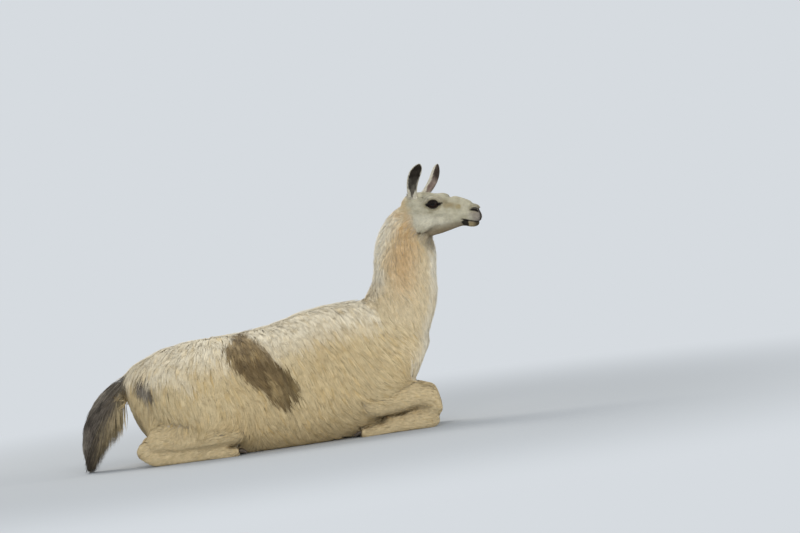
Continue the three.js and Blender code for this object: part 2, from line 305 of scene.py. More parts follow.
def depthAt(points):
    depths = np.array([coatDepth[name] for name in groupNames])
    deep = regionShares(points, 0.02) @ depths
    lift = smoothStep(0, floorPress["height"], points[:, 2])
    return floorPress["depth"] + (deep - floorPress["depth"]) * lift


# the body's outline, smoothed where the wool rounds it off

bodyPlan = {"step": 0.005, "reach": 0.045, "close": 0.0015, "crisp": 0.004, "round": 0.011, "margin": 0.03}
bodyLow, bodyHigh = cadLow - bodyPlan["margin"], cadHigh + bodyPlan["margin"]
bodyHigh[2] = boxes["head"][1][2] + bodyPlan["margin"]
outline = outlineField(fleshNames, bodyLow, bodyHigh, bodyPlan["step"], bodyPlan["reach"], bodyPlan["close"])
heights = outline.low[2] + outline.step * np.arange(outline.values.shape[2])
woolly = smoothStep(0.07, 0.16, heights)[None, None, :].astype(np.float32)  # the legs below keep their form
crisp = blurred(outline.values, bodyPlan["crisp"] / outline.step)
rounded = blurred(outline.values, bodyPlan["round"] / outline.step)
outline.values = crisp + (rounded - crisp) * woolly
print("outline", outline.values.shape)

band = np.abs(outline.values) < bodyPlan["reach"] - outline.step
bodySkin = Field(outline.values.copy(), outline.low, outline.step)
bodySkin.values[band] += depthAt(gridPoints(outline, band)).astype(np.float32)
print("body skin field ready")


# the finer field of the head, ears and upper neck

headGrid = {"step": 0.0025, "reach": 0.03, "close": 0.0012, "crisp": 0.003, "band": 0.026, "margin": 0.02}
headStep, margin = headGrid["step"], headGrid["margin"]
joinHeight = boxes["lower_jaw"][0][2] - 0.012  # the level in the neck where the two fields meet
neckPoints = meshPoints(frame["nodes"]["neck"].data)
neckBack = neckPoints[neckPoints[:, 2] > joinHeight - 0.06, 0].min() - margin
headEnds = np.stack([boxes[name][end] for name in ("head", "ear_right", "ear_left") for end in (0, 1)])
headLow = [min(neckBack, headEnds[:, 0].min() - margin), headEnds[:, 1].min() - margin, joinHeight - margin]
headHigh = headEnds.max(axis=0) + [margin, margin, 0.012]
headNames = ["head", "lower_jaw", "neck", "eye_right", "eye_left"]
headField = outlineField(headNames, headLow, headHigh, headStep, headGrid["reach"], headGrid["close"])
headField.values = blurred(headField.values, headGrid["crisp"] / headStep)
band = np.abs(headField.values) < headGrid["band"]
spots = gridPoints(headField, band)
nearHead = groupFields["head"].at(spots)
headShare = smoothStep(joinHeight, joinHeight + 0.035, spots[:, 2]) * smoothStep(0.03, 0.004, nearHead)
mixed = outline.at(spots)
mixed += (headField.values[band] - mixed) * headShare
mixed += depthAt(spots)
print("head field", headField.values.shape, len(spots))


# features of the head, in millimetres on its own axes: forward, out (both sides), up

def blendMin(a, b, soft):
    overlap = np.maximum(soft - np.abs(a - b), 0) / soft
    return np.minimum(a, b) - overlap * overlap * soft / 4


def eggDistance(places, middle, radii, tilt=0):
    away = places - np.asarray(middle, float)
    turn = math.radians(tilt)
    ahead = away[:, 0] * math.cos(turn) + away[:, 2] * math.sin(turn)
    above = away[:, 2] * math.cos(turn) - away[:, 0] * math.sin(turn)
    away = np.stack([ahead, away[:, 1], above], axis=1)
    near = np.linalg.norm(away / radii, axis=1)
    steep = np.linalg.norm(away / np.square(radii), axis=1)
    return near * (near - 1) / np.maximum(steep, 1e-9)


def rodDistance(places, start, end, radiusStart, radiusEnd):
    start, end = np.asarray(start, float), np.asarray(end, float)
    along = end - start
    share = np.clip((places - start) @ along / (along @ along), 0, 1)
    nearest = start + share[:, None] * along
    return np.linalg.norm(places - nearest, axis=1) - (radiusStart + (radiusEnd - radiusStart) * share)


eyePlan = {"middle": (122, 55, 33.5), "radius": 21}
headLumps = [  # what stands out of the skull's plain shape
    {"egg": [(108, 51, 61), (32, 13, 9)], "tilt": -3, "soft": 8},  # brow
    {"egg": [eyePlan["middle"], (26, 24.8, 24)], "soft": 9},  # lids round the eye
    {"rod": [(156, 44, 2), (72, 60, 12), 8, 8], "soft": 14},  # cheekbone
    {"egg": [(86, 48, -38), (38, 17, 42)], "soft": 16},  # jaw muscle
    {"rod": [(196, 0, 57), (250, 0, 46), 12, 12], "soft": 12},  # bridge of the nose
    {"egg": [(146, 0, 66), (20, 32, 11)], "soft": 9},  # forehead
    {"egg": [(282, 18, 37), (19, 10, 7)], "tilt": -20, "soft": 8},  # wing of the nostril
    {"egg": [(284, 13, -1), (22, 17, 17)], "soft": 8},  # half of the split upper lip
    {"egg": [(278, 0, -32), (23, 18, 10)], "tilt": 6, "soft": 8},  # lower lip
]
headHollows = [
    {"egg": [(84, 82, 50), (18, 12, 14)], "soft": 12},  # temple
    {"egg": [(182, 60, -22), (36, 16, 20)], "soft": 16},  # behind the mouth
    {"egg": [(176, 62, 34), (26, 14, 15)], "soft": 14},  # in front of the eye
    {"egg": [(262, 0, -62), (14, 26, 12)], "soft": 10},  # behind the lower lip
    {"rod": [(300, 14, 23), (290, 22, 30), 3.6, 6.6], "soft": 3},  # nostril, its front
    {"rod": [(290, 22, 30), (266, 34, 26), 6.6, 2.6], "soft": 3},  # and its slit behind
]


def featureDistance(places, feature):
    if "egg" in feature:
        return eggDistance(places, *feature["egg"], tilt=feature.get("tilt", 0))
    return rodDistance(places, *feature["rod"])


def nostrilDistance(places):
    front, slit = (rodDistance(places, *hollow["rod"]) for hollow in headHollows[-2:])
    return np.minimum(slit, front)


mirrored = folded(toHead(spots))
shape = mixed * 1000
for lump in headLumps:
    shape = blendMin(shape, featureDistance(mirrored, lump), lump["soft"])
for hollow in headHollows:
    shape = -blendMin(-shape, featureDistance(mirrored, hollow), hollow["soft"])

mouth = {"corner": 243, "level": -15, "rise": -0.09, "depth": 4.2, "width": 2.2}
splitLip = {"depth": 3.0, "width": 1.8}


def lipLine(ahead):  # how high the parting of the lips lies
    return mouth["level"] + mouth["rise"] * (ahead - mouth["corner"])


ahead, aside, above = mirrored.T
crease = bell(above - lipLine(ahead), mouth["width"])
shape += mouth["depth"] * (crease * smoothStep(mouth["corner"] - 6, mouth["corner"] + 4, ahead))
cleft = bell(aside, splitLip["width"]) * smoothStep(290, 298, ahead)
shape += splitLip["depth"] * (cleft * smoothStep(-22, -16, above) * smoothStep(26, 16, above))

# folds of skin over and under the eye
eyeFolds = {"first": 27, "apart": 8.5, "high": 1.25}


def foldWave(fromEye):
    return np.sin((fromEye - eyeFolds["first"]) * 2 * math.pi / eyeFolds["apart"])


toEye = mirrored - np.asarray(eyePlan["middle"])
fromEye = np.linalg.norm(toEye, axis=1)
overEye = smoothStep(4, 16, toEye[:, 2]) * smoothStep(26, 29, fromEye) * smoothStep(48, 40, fromEye)
underEye = smoothStep(-6, -16, toEye[:, 2]) * smoothStep(26, 29, fromEye) * smoothStep(42, 36, fromEye)
shape += eyeFolds["high"] * foldWave(fromEye) * (overEye + 0.5 * underEye)

# the opening between the lids, cut down to the eyeball
eyeAxis = unitRows(np.array([[0.34, 0.93, 0.10]]))[0]  # which way the right or left eye looks
slitAxis = unitRows(np.array([[0.92, -0.35, 0.12]]))[0]  # from the back corner to the front one
slitAxis = unitRows((slitAxis - (slitAxis @ eyeAxis) * eyeAxis)[None])[0]
riseAxis = np.cross(slitAxis, eyeAxis)
riseAxis *= np.sign(riseAxis[2])
lidSlit = {"half": 22, "up": 12.5, "down": 10, "spare": 2.2, "endSpare": 1.5, "sink": 3}


def slitEdges(along):  # how far the lids stand open, above and below
    share = np.clip(1 - (along / lidSlit["half"]) ** 2, 0, 1)
    return lidSlit["up"] * share ** 0.75, lidSlit["down"] * share ** 0.9


def lidPlaces(places):  # along the slit, up from it, and out of the eye
    away = places - np.asarray(eyePlan["middle"])
    return away @ slitAxis, away @ riseAxis, away @ eyeAxis


along, rise, outward = lidPlaces(mirrored)
upper, lower = slitEdges(along)
opening = np.maximum(rise - upper - lidSlit["spare"], -rise - lower - lidSlit["spare"])
opening = np.maximum(np.maximum(opening, -outward), np.abs(along) - lidSlit["half"] - lidSlit["endSpare"])
shape = np.maximum(shape, np.minimum(-opening, fromEye - eyePlan["radius"] + lidSlit["sink"]))

headField.values[band] = shape / 1000


# ears: long scoops, set in the head's field before it is meshed

def curveThrough(knots, values, at):
    knots, values = np.asarray(knots, float), np.asarray(values, float)
    slopes = np.gradient(values, knots, axis=0)
    i = np.clip(np.searchsorted(knots, at) - 1, 0, len(knots) - 2)
    gap = knots[i + 1] - knots[i]
    t = (at - knots[i]) / gap
    if values.ndim > 1:
        t, gap = t[:, None], gap[:, None]
    return (
        (2 * t ** 3 - 3 * t ** 2 + 1) * values[i] + (t ** 3 - 2 * t ** 2 + t) * gap * slopes[i]
        + (3 * t ** 2 - 2 * t ** 3) * values[i + 1] + (t ** 3 - t ** 2) * gap * slopes[i + 1]
    )


def ringFaces(rings, sides):  # quads between each ring and the next
    ring, spot = np.divmod(np.arange((rings - 1) * sides), sides)
    after = ring * sides + (spot + 1) % sides
    here = ring * sides + spot
    return np.stack([here, after, after + sides, here + sides], axis=1)


def loftFaces(rings, sides):  # the rings, and a fan to a last point at each end
    first, last = rings * sides, rings * sides + 1
    around = np.arange(sides)
    start = np.stack([np.full(sides, first), (around + 1) % sides, around], axis=1)
    top = (rings - 1) * sides
    end = np.stack([np.full(sides, last), top + around, top + (around + 1) % sides], axis=1)
    return ringFaces(rings, sides), np.vstack([start, end])


earPlan = {
    "length": 148, "half": 23, "curl": 13, "wall": 4.2, "scoop": 13,
    "share": (0, 0.2, 0.4, 0.6, 0.78, 0.92, 0.99),
    "width": (0.72, 0.84, 0.92, 1, 0.94, 0.62, 0.22),
    "depth": (0.72, 0.80, 0.78, 0.68, 0.54, 0.34, 0.16),
}
earPlaces = {
    "right": {
        "side": -1, "root": (32, -47, 52), "turn": 62, "splay": 12, "lean": 13, "flat": 1, "narrow": 1,
    },
    "left": {
        "side": 1, "root": (45, 46, 56), "turn": -34, "splay": 29, "lean": 13, "flat": 0.7, "narrow": 0.88,
    },
}


def earSpin(ear):
    side = ear["side"]
    turn, splay, lean = (math.radians(v) for v in (side * ear["turn"], -side * ear["splay"], ear["lean"]))
    spin = Matrix.Rotation(lean, 3, "Y") @ Matrix.Rotation(splay, 3, "X") @ Matrix.Rotation(turn, 3, "Z")
    return np.array(spin)


def placeEar(local, ear):  # from the ear's own axes, root at zero, to the head's
    return (local * [1, ear["side"], 1]) @ earSpin(ear).T + ear["root"]


def earPlace(points, ear):  # on the ear's own axes: how far inside its scoop, across and along
    return ((toHead(points) - ear["root"]) @ earSpin(ear)) * [1, ear["side"], 1]


def earHalf(ear, share):
    return curveThrough(earPlan["share"], earPlan["width"], share) * earPlan["half"] * ear["narrow"]


def earShell(ear, inset, scoop):
    rings, sides = 40, 36
    share = np.linspace(0, 0.99, rings)
    wall = inset * (1 - 0.5 * share)  # thinner towards the tip
    width = np.maximum(earHalf(ear, share) - wall, 0.6)
    deep = curveThrough(earPlan["share"], earPlan["depth"], share) * earPlan["half"] * ear["flat"]
    depth = np.maximum(deep - wall, 0.6)
    angle = np.linspace(0, 2 * math.pi, sides, endpoint=False)
    x = scoop + depth[:, None] * np.sin(angle)
    y = earPlan["curl"] * np.sin(share * math.pi)[:, None] + width[:, None] * np.cos(angle)
    z = np.broadcast_to((share * earPlan["length"])[:, None], x.shape)
    points = np.stack([x, y, z], axis=2).reshape(-1, 3)
    ends = [[scoop, 0, -4], [scoop, 0, earPlan["length"]]]
    points = fromHead(placeEar(np.vstack([points, ends]), ear))
    return points, *loftFaces(rings, sides)


def shellField(points, quads, triangles):
    values = distanceGrid(points, headStep, headGrid["reach"], triangles=triangles, quads=quads)
    return readGrid(values, headField.low, headField.values.shape, headStep)


earFields = {}
for ear in earPlaces.values():
    outside = shellField(*earShell(ear, 1.2, 0))
    hollow = shellField(*earShell(ear, 1.2 + earPlan["wall"], earPlan["scoop"]))
    earFields[ear["side"]] = [Field(values, headField.low, headStep) for values in (outside, hollow)]
    scoop = -blendMin(-outside, hollow, 0.002)
    headField.values = blendMin(headField.values, scoop, 0.005)
headField.values = blurred(headField.values, 0.6)
print("head sculpted")


# one skin from the two fields, joined in the neck

def skinOver(field, adaptivity):
    grid = openvdb.FloatGrid(background=float(field.values.max()))
    first = tuple(int(round(v / field.step)) for v in field.low)
    grid.copyFromArray(field.values.astype(np.float32), ijk=first)
    grid.transform = openvdb.createLinearTransform(voxelSize=field.step)
    points, triangles, quads = grid.convertToPolygons(isovalue=0.0, adaptivity=adaptivity)
    return points, quads.tolist() + triangles.tolist()


def cutSkin(field, adaptivity, keepAbove):
    points, faces = skinOver(field, adaptivity)
    part = bmesh.new()
    part.from_mesh(meshFrom("part", points, faces))
    whole = part.verts[:] + part.edges[:] + part.faces[:]
    level = Vector((0, 0, joinHeight))
    bmesh.ops.bisect_plane(
        part, geom=whole, plane_co=level, plane_no=(0, 0, 1),
        clear_inner=keepAbove, clear_outer=not keepAbove)
    return part


bodyPart = cutSkin(bodySkin, 0.018, False)
headPart = cutSkin(headField, 0.0, True)
print("parts", len(bodyPart.faces), len(headPart.faces))
joined = bpy.data.meshes.new("head part")
headPart.to_mesh(joined)
bodyPart.from_mesh(joined)
rims = [edge for edge in bodyPart.edges if edge.is_boundary]
print("rim edges", len(rims))
bmesh.ops.bridge_loops(bodyPart, edges=rims)


# finishes: the colour comes from each piece's own tint, the grain from the material

def node(tree, kind, sockets=None, **settings):
    made = tree.nodes.new(kind)
    for name, value in settings.items():
        setattr(made, name, value)
    for socket, value in (sockets or {}).items():
        made.inputs[socket].default_value = value
    return made


def paint(mesh, colours, name="tint"):
    made = mesh.attributes.new(name, "FLOAT_COLOR", "POINT")
    values = np.ones((len(mesh.vertices), 4), np.float32)
    values[:, :3] = np.clip(colours, 0, 1)
    made.data.foreach_set("color", values.ravel())


def tintedMaterial(name, look):
    material = bpy.data.materials.new(name)
    material.use_nodes = True
    tree = material.node_tree
    tree.nodes.clear()
    place = node(tree, "ShaderNodeTexCoord")
    tint = node(tree, "ShaderNodeAttribute", attribute_name="tint")
    shader = node(tree, "ShaderNodeBsdfPrincipled")
    out = node(tree, "ShaderNodeOutputMaterial")
    link = tree.links.new
    shader.inputs["Roughness"].default_value = look["rough"]
    shader.inputs["Specular IOR Level"].default_value = look["shine"]
    shader.inputs["Coat Weight"].default_value = look.get("coat", 0)
    shader.inputs["Coat Roughness"].default_value = look.get("coatRough", 0.03)
    shader.inputs["Sheen Weight"].default_value = look.get("sheen", 0)
    shader.inputs["Sheen Roughness"].default_value = 0.5
    link(shader.outputs[0], out.inputs["Surface"])
    if not look.get("grain"):
        link(tint.outputs["Color"], shader.inputs["Base Color"])
        return material
    grain = node(tree, "ShaderNodeTexNoise")
    grain.inputs["Scale"].default_value = look["grain"]
    grain.inputs["Detail"].default_value = 3
    level = node(tree, "ShaderNodeMapRange", {1: 0.3, 2: 0.7, 3: 1 - look["vary"], 4: 1 + look["vary"]})
    toned = node(tree, "ShaderNodeVectorMath", operation="SCALE")
    link(place.outputs["Object"], grain.inputs["Vector"])
    link(grain.outputs["Fac"], level.inputs[0])
    link(tint.outputs["Color"], toned.inputs[0])
    link(level.outputs[0], toned.inputs["Scale"])
    link(toned.outputs[0], shader.inputs["Base Color"])
    if look.get("bump"):
        fine = node(tree, "ShaderNodeTexNoise")
        fine.inputs["Scale"].default_value = look["bumpGrain"]
        fine.inputs["Detail"].default_value = 2
        bump = node(tree, "ShaderNodeBump")
        bump.inputs["Strength"].default_value = look["bump"]
        bump.inputs["Distance"].default_value = look["bumpDeep"]
        link(place.outputs["Object"], fine.inputs["Vector"])
        link(fine.outputs["Fac"], bump.inputs["Height"])
        link(bump.outputs[0], shader.inputs["Normal"])
    return material


eyeMaterial = tintedMaterial("wet eye", {"rough": 0.05, "shine": 0.22})
skinMaterial = tintedMaterial("skin with short fur", {
    "rough": 0.8, "shine": 0.12, "grain": 70, "vary": 0.1,
    "bump": 0.35, "bumpGrain": 620, "bumpDeep": 0.0012,
})
woolMaterial = tintedMaterial("wool", {
    "rough": 0.85, "shine": 0.12, "sheen": 0.06, "grain": 45, "vary": 0.07,
})
darkWoolMaterial = tintedMaterial("dark wool", {"rough": 0.7, "shine": 0.2, "grain": 55, "vary": 0.2})
furMaterial = tintedMaterial("short fur", {"rough": 0.8, "shine": 0.12, "grain": 90, "vary": 0.08})
lashMaterial = tintedMaterial("lashes", {"rough": 0.7, "shine": 0.2})
nailMaterial = tintedMaterial("nail horn", {
    "rough": 0.42, "shine": 0.5, "grain": 160, "vary": 0.25,
    "bump": 0.25, "bumpGrain": 260, "bumpDeep": 0.0008,
})


# eyelids: a rounded rim that closes the cut edge of the skin on the eyeball

# turn goes round the opening, away is from its edge and radius from the eye's middle
def lidPoint(turn, away, radius):
    along = lidSlit["half"] * np.cos(turn)
    upper, lower = slitEdges(along)
    rise = np.where(np.sin(turn) >= 0, upper, -lower)
    outwards = unitRows(np.stack([np.cos(turn) * 0.55, np.sin(turn)], axis=1))
    along, rise = along + outwards[:, 0] * away, rise + outwards[:, 1] * away
    over = np.sqrt(np.maximum(radius ** 2 - 0.72 * along ** 2 - rise ** 2, 4))
    return along[:, None] * slitAxis + rise[:, None] * riseAxis + over[:, None] * eyeAxis


lidRim = {  # profile as (away, radius)
    "around": 72,
    "profile": [(8, 22.4), (5.2, 24.6), (2.8, 25.6), (0.9, 25.2), (-0.2, 23.8), (0.3, 21.9), (2.5, 20)],
}
turns = np.linspace(0, 2 * math.pi, lidRim["around"], endpoint=False)


def mirrorHead(places, side):
    return places * [1, side, 1]


def lidMesh(side):
    rows = [lidPoint(turns, away, radius) + eyePlan["middle"] for away, radius in lidRim["profile"]]
    points = fromHead(mirrorHead(np.vstack(rows), side))
    faces = ringFaces(len(rows), lidRim["around"])
    return points, faces[:, ::-1] if side > 0 else faces


# eyeballs

eyeTurn = np.stack([slitAxis, riseAxis, eyeAxis])
eyeLook = {
    "rings": 40, "around": 64, "bulge": 0.035, "pupil": (7.4, 4.2), "iris": (12.4, 13.4),
    "white": (52, 40, 34), "brown": (40, 24, 15), "black": (3, 3, 4),
}


def eyeBall(name, side):
    rings, around = eyeLook["rings"], eyeLook["around"]
    polar = np.linspace(0, math.pi, rings)[1:-1]
    spin = np.linspace(0, 2 * math.pi, around, endpoint=False)
    bulge = 1 + eyeLook["bulge"] * smoothStep(0.62, 0.2, polar)  # the clear front stands out a little
    local = np.stack([
        (np.sin(polar) * bulge)[:, None] * np.cos(spin),
        (np.sin(polar) * bulge)[:, None] * np.sin(spin),
        np.broadcast_to((np.cos(polar) * bulge)[:, None], (len(polar), around)),
    ], axis=2).reshape(-1, 3)
    local = np.vstack([local, [[0, 0, 1 + eyeLook["bulge"]], [0, 0, -1]]]) * eyePlan["radius"]
    quads, fans = loftFaces(len(polar), around)
    faces = quads.tolist() + fans.tolist()
    points = fromHead(mirrorHead(local @ eyeTurn + eyePlan["middle"], side))
    mesh = meshFrom(name, points, faces)
    middle = fromHead(mirrorHead(np.array([eyePlan["middle"]]), side))[0]
    outwards = [np.dot(face.normal, np.array(face.center) - middle) for face in mesh.polygons]
    if np.mean(outwards) < 0:
        mesh.flip_normals()
    mesh.shade_smooth()
    wide, high = np.abs(local[:, 0]), np.abs(local[:, 1])
    front = local[:, 2] > 0
    pupilWide, pupilHigh = eyeLook["pupil"]
    irisFull, irisEnd = eyeLook["iris"]
    pupil = smoothStep(1.12, 0.9, np.hypot(wide / pupilWide, high / pupilHigh)) * front
    iris = smoothStep(irisEnd, irisFull, np.hypot(wide, high)) * front
    tint = np.tile(linearColour(*eyeLook["white"]), (len(local), 1))
    tint = mixRows(tint, linearColour(*eyeLook["brown"]), iris)
    spokes = np.zeros((len(local), 3))
    spokes[:, 0] = np.arctan2(local[:, 1], local[:, 0]) * 1.2
    streak = 0.75 + 0.5 * Noise(0.16, 5).at(spokes)
    tint *= (1 + (streak - 1) * iris)[:, None]
    tint = mixRows(tint, linearColour(*eyeLook["black"]), pupil)
    paint(mesh, tint)
    ball = linkObject(name, mesh)
    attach(ball, "root")
    mesh.materials.append(eyeMaterial)
    return ball


# the distance to the skin anywhere: fine round the head, coarser below

def skinDistance(points):
    values = bodySkin.at(points)
    high = points[:, 2] > joinHeight
    values[high] = headField.at(points[high])
    return values


def skinSlope(points):
    slopes = np.empty_like(points)
    high = points[:, 2] > joinHeight + 0.004
    slopes[~high] = bodySkin.slope(points[~high])
    slopes[high] = headField.slope(points[high])
    return slopes


# markings, and some painted light and shade, shared by the skin and every tuft on it

# signed distance to a closed outline, above zero inside
def insideShape(x, z, corners):
    corners = np.asarray(corners, float)
    nearest = np.full(len(x), 1e9)
    inside = np.zeros(len(x), bool)
    for (ax, az), (bx, bz) in zip(corners, np.roll(corners, -1, axis=0)):
        wide, high = bx - ax, bz - az
        along = np.clip(((x - ax) * wide + (z - az) * high) / (wide ** 2 + high ** 2), 0, 1)
        nearest = np.minimum(nearest, np.hypot(x - ax - along * wide, z - az - along * high))
        crossing = wide * (z - az) / np.where(high == 0, 1e-9, high) + ax
        inside ^= ((az > z) != (bz > z)) & (x < crossing)
    return np.where(inside, nearest, -nearest)


markPlan = {
    "rightPatch": [
        (-0.228, 0.440), (-0.183, 0.476), (-0.122, 0.458), (-0.066, 0.422), (-0.016, 0.373), (0.016, 0.316),
        (0.012, 0.262), (-0.036, 0.236), (-0.085, 0.250), (-0.165, 0.316), (-0.205, 0.376),
    ],
    "leftPatch": [
        (-0.420, 0.350), (-0.340, 0.392), (-0.262, 0.350), (-0.250, 0.262), (-0.318, 0.214), (-0.402, 0.268),
    ],
    "rump": (-0.546, 0.356, 0.030),  # x, z, radius
    "tan": (0.522, 0.712, 0.056, 0.135),  # x, z, reach along x and z
    "speckled": (0.560, 0.815, 0.045, 0.060),
    "trunkShade": (0.22, 0.24, 0.29),  # how much less red, green and blue than the neck
}
# pale also paints the rim of light and the light on the back
woolCards = {
    "cream": (224, 206, 167), "warm": (209, 184, 137), "pale": (245, 240, 225), "tan": (205, 168, 118),
    "patch": (98, 81, 56), "patchLight": (158, 138, 100), "leg": (207, 190, 154),
    "dusky": (84, 77, 70), "duskyLight": (162, 154, 140),
    "face": (196, 191, 169), "faceShade": (152, 143, 117), "muzzle": (134, 125, 120), "black": (22, 19, 18),
    "earPale": (222, 216, 200), "earDark": (38, 32, 27), "earGrey": (132, 113, 104),
    "spot": (150, 128, 70), "rim": (34, 28, 26), "lip": (150, 134, 98), "cheek": (222, 217, 198),
}
cards = {name: linearColour(*card) for name, card in woolCards.items()}
broad, medium, small = Noise(0.16, 21), Noise(0.045, 22), Noise(0.014, 23)
faceFine, faceMottle = Noise(0.006, 31), Noise(0.018, 32)


def betweenCards(dark, light, share):
    return cards[dark] + (cards[light] - cards[dark]) * share[:, None] ** 2


def bodyMarks(points, slopes):
    x, y, z = points.T
    wander, rough, fine = broad.at(points), medium.at(points * [1, 1, 0.45]), small.at(points)
    shares, wideShares = regionShares(points), regionShares(points, 0.07)
    neck, legs, tail = (shares[:, groupNames.index(name)] for name in ("neck", "legs", "tail"))
    nearNeck = wideShares[:, groupNames.index("neck")]

    # cream, warmer in places and low down
    warmth = np.clip(0.25 + 0.55 * wander, 0, 1) * (0.7 - 0.45 * nearNeck)
    colour = mixRows(np.tile(cards["cream"], (len(points), 1)), cards["warm"], warmth)
    colour = mixRows(colour, cards["leg"], legs * 0.8)
    colour = mixRows(colour, cards["warm"], 0.25 * smoothStep(0.30, 0.08, z))

    # painted light: paler on the upward back and the rims of the throat, breast and nape; the neck also a
    # little paler in its own colour
    topLightAndPaleNeck = smoothStep(0.42, 0.95, slopes[:, 2]) * (1 - neck) * (1 - legs) * smoothStep(0.2, 0.3, z)
    topLightAndPaleNeck = np.maximum(0.85 * topLightAndPaleNeck, 0.4 * nearNeck)
    paintedRimLight = smoothStep(0.34, 0.82, np.abs(slopes[:, 0])) * neck * smoothStep(0.40, 0.68, z + 0.05 * rough)
    breastRimLight = smoothStep(0.25, 0.75, slopes[:, 0]) * smoothStep(0.36, 0.48, x) * (1 - legs)
    napeRimLight = smoothStep(0.10, 0.60, -slopes[:, 0]) * smoothStep(0.66, 0.80, z) * neck
    paintedRimLight = np.maximum(paintedRimLight, 0.75 * np.maximum(breastRimLight, napeRimLight) * np.clip(0.9 + 0.4 * rough, 0, 1))
    colour = mixRows(colour, cards["pale"], 0.9 * np.maximum(topLightAndPaleNeck, paintedRimLight))
    trunk = (1 - nearNeck) * (1 - 0.6 * legs) * (1 - 0.6 * breastRimLight)
    colour = colour * (1 - trunk[:, None] * markPlan["trunkShade"])

    # tan on the sides of the neck, speckled under the ears
    tanX, tanZ, tanWide, tanHigh = markPlan["tan"]
    lean = 0.20 * (z - tanZ)
    tan = np.exp(-(((x - tanX - lean) / tanWide) ** 2 + ((z - tanZ) / tanHigh) ** 2))
    tan *= np.clip(0.8 + 0.5 * rough, 0, 1) * (1 - paintedRimLight) * smoothStep(0.42, 0.55, z)
    behindEars = smoothStep(-0.01, 0.05, z - 0.80 - 0.8 * (x - 0.55) + 0.02 * rough)
    tan *= 1 - 0.85 * behindEars
    colour = mixRows(colour, cards["pale"], 0.35 * behindEars * neck)
    colour = mixRows(colour, cards["tan"], 0.85 * tan)
    spotX, spotZ, spotWide, spotHigh = markPlan["speckled"]
    speckled = bell(np.hypot((x - spotX) / spotWide, (z - spotZ) / spotHigh), 1)
    colour = mixRows(colour, cards["tan"], 0.8 * (speckled * np.clip(0.45 + 1.2 * fine, 0, 1)))

    # a brown patch on each flank
    for side, patch in ((-1, "rightPatch"), (1, "leftPatch")):
        within = insideShape(x + 0.004 * rough, z, markPlan[patch]) + 0.016 * rough + 0.008 * fine
        share = smoothStep(-0.006, 0.007, within) * (y * side > 0)
        tone = np.clip(0.5 + 0.5 * small.at(points * [1, 1, 0.3]) + 0.3 * rough, 0, 1)
        brown = betweenCards("patch", "patchLight", tone)
        brown *= (1 - 0.35 * smoothStep(-0.07, 0.0, x + 0.03 * rough))[:, None]
        colour = mixRows(colour, brown, 0.96 * share)

    # the dusky tail, cream beneath its root, and the spot beside it
    rumpX, rumpZ, rumpWide = markPlan["rump"]
    nearTail = rumpWide - np.hypot(x - rumpX, z - rumpZ) + 0.014 * rough
    rootOfTail = smoothStep(-0.592, -0.618, x + 0.020 * rough)
    rootOfTail = rootOfTail * smoothStep(-0.012, 0.016, z - 0.357 - 0.9 * (x + 0.62))
    lightUnder = smoothStep(-0.2, -0.75, slopes[:, 2]) * smoothStep(-0.80, -0.72, x + 0.02 * rough)
    dusk = np.maximum(tail, rootOfTail) * (1 - 0.9 * lightUnder)
    dusk = np.maximum(smoothStep(-0.008, 0.010, nearTail) * (y < 0), dusk)
    streak = np.clip(0.42 + 0.75 * small.at(points * [0.6, 1, 0.3]), 0, 1)
    return mixRows(colour, betweenCards("dusky", "duskyLight", streak), dusk)


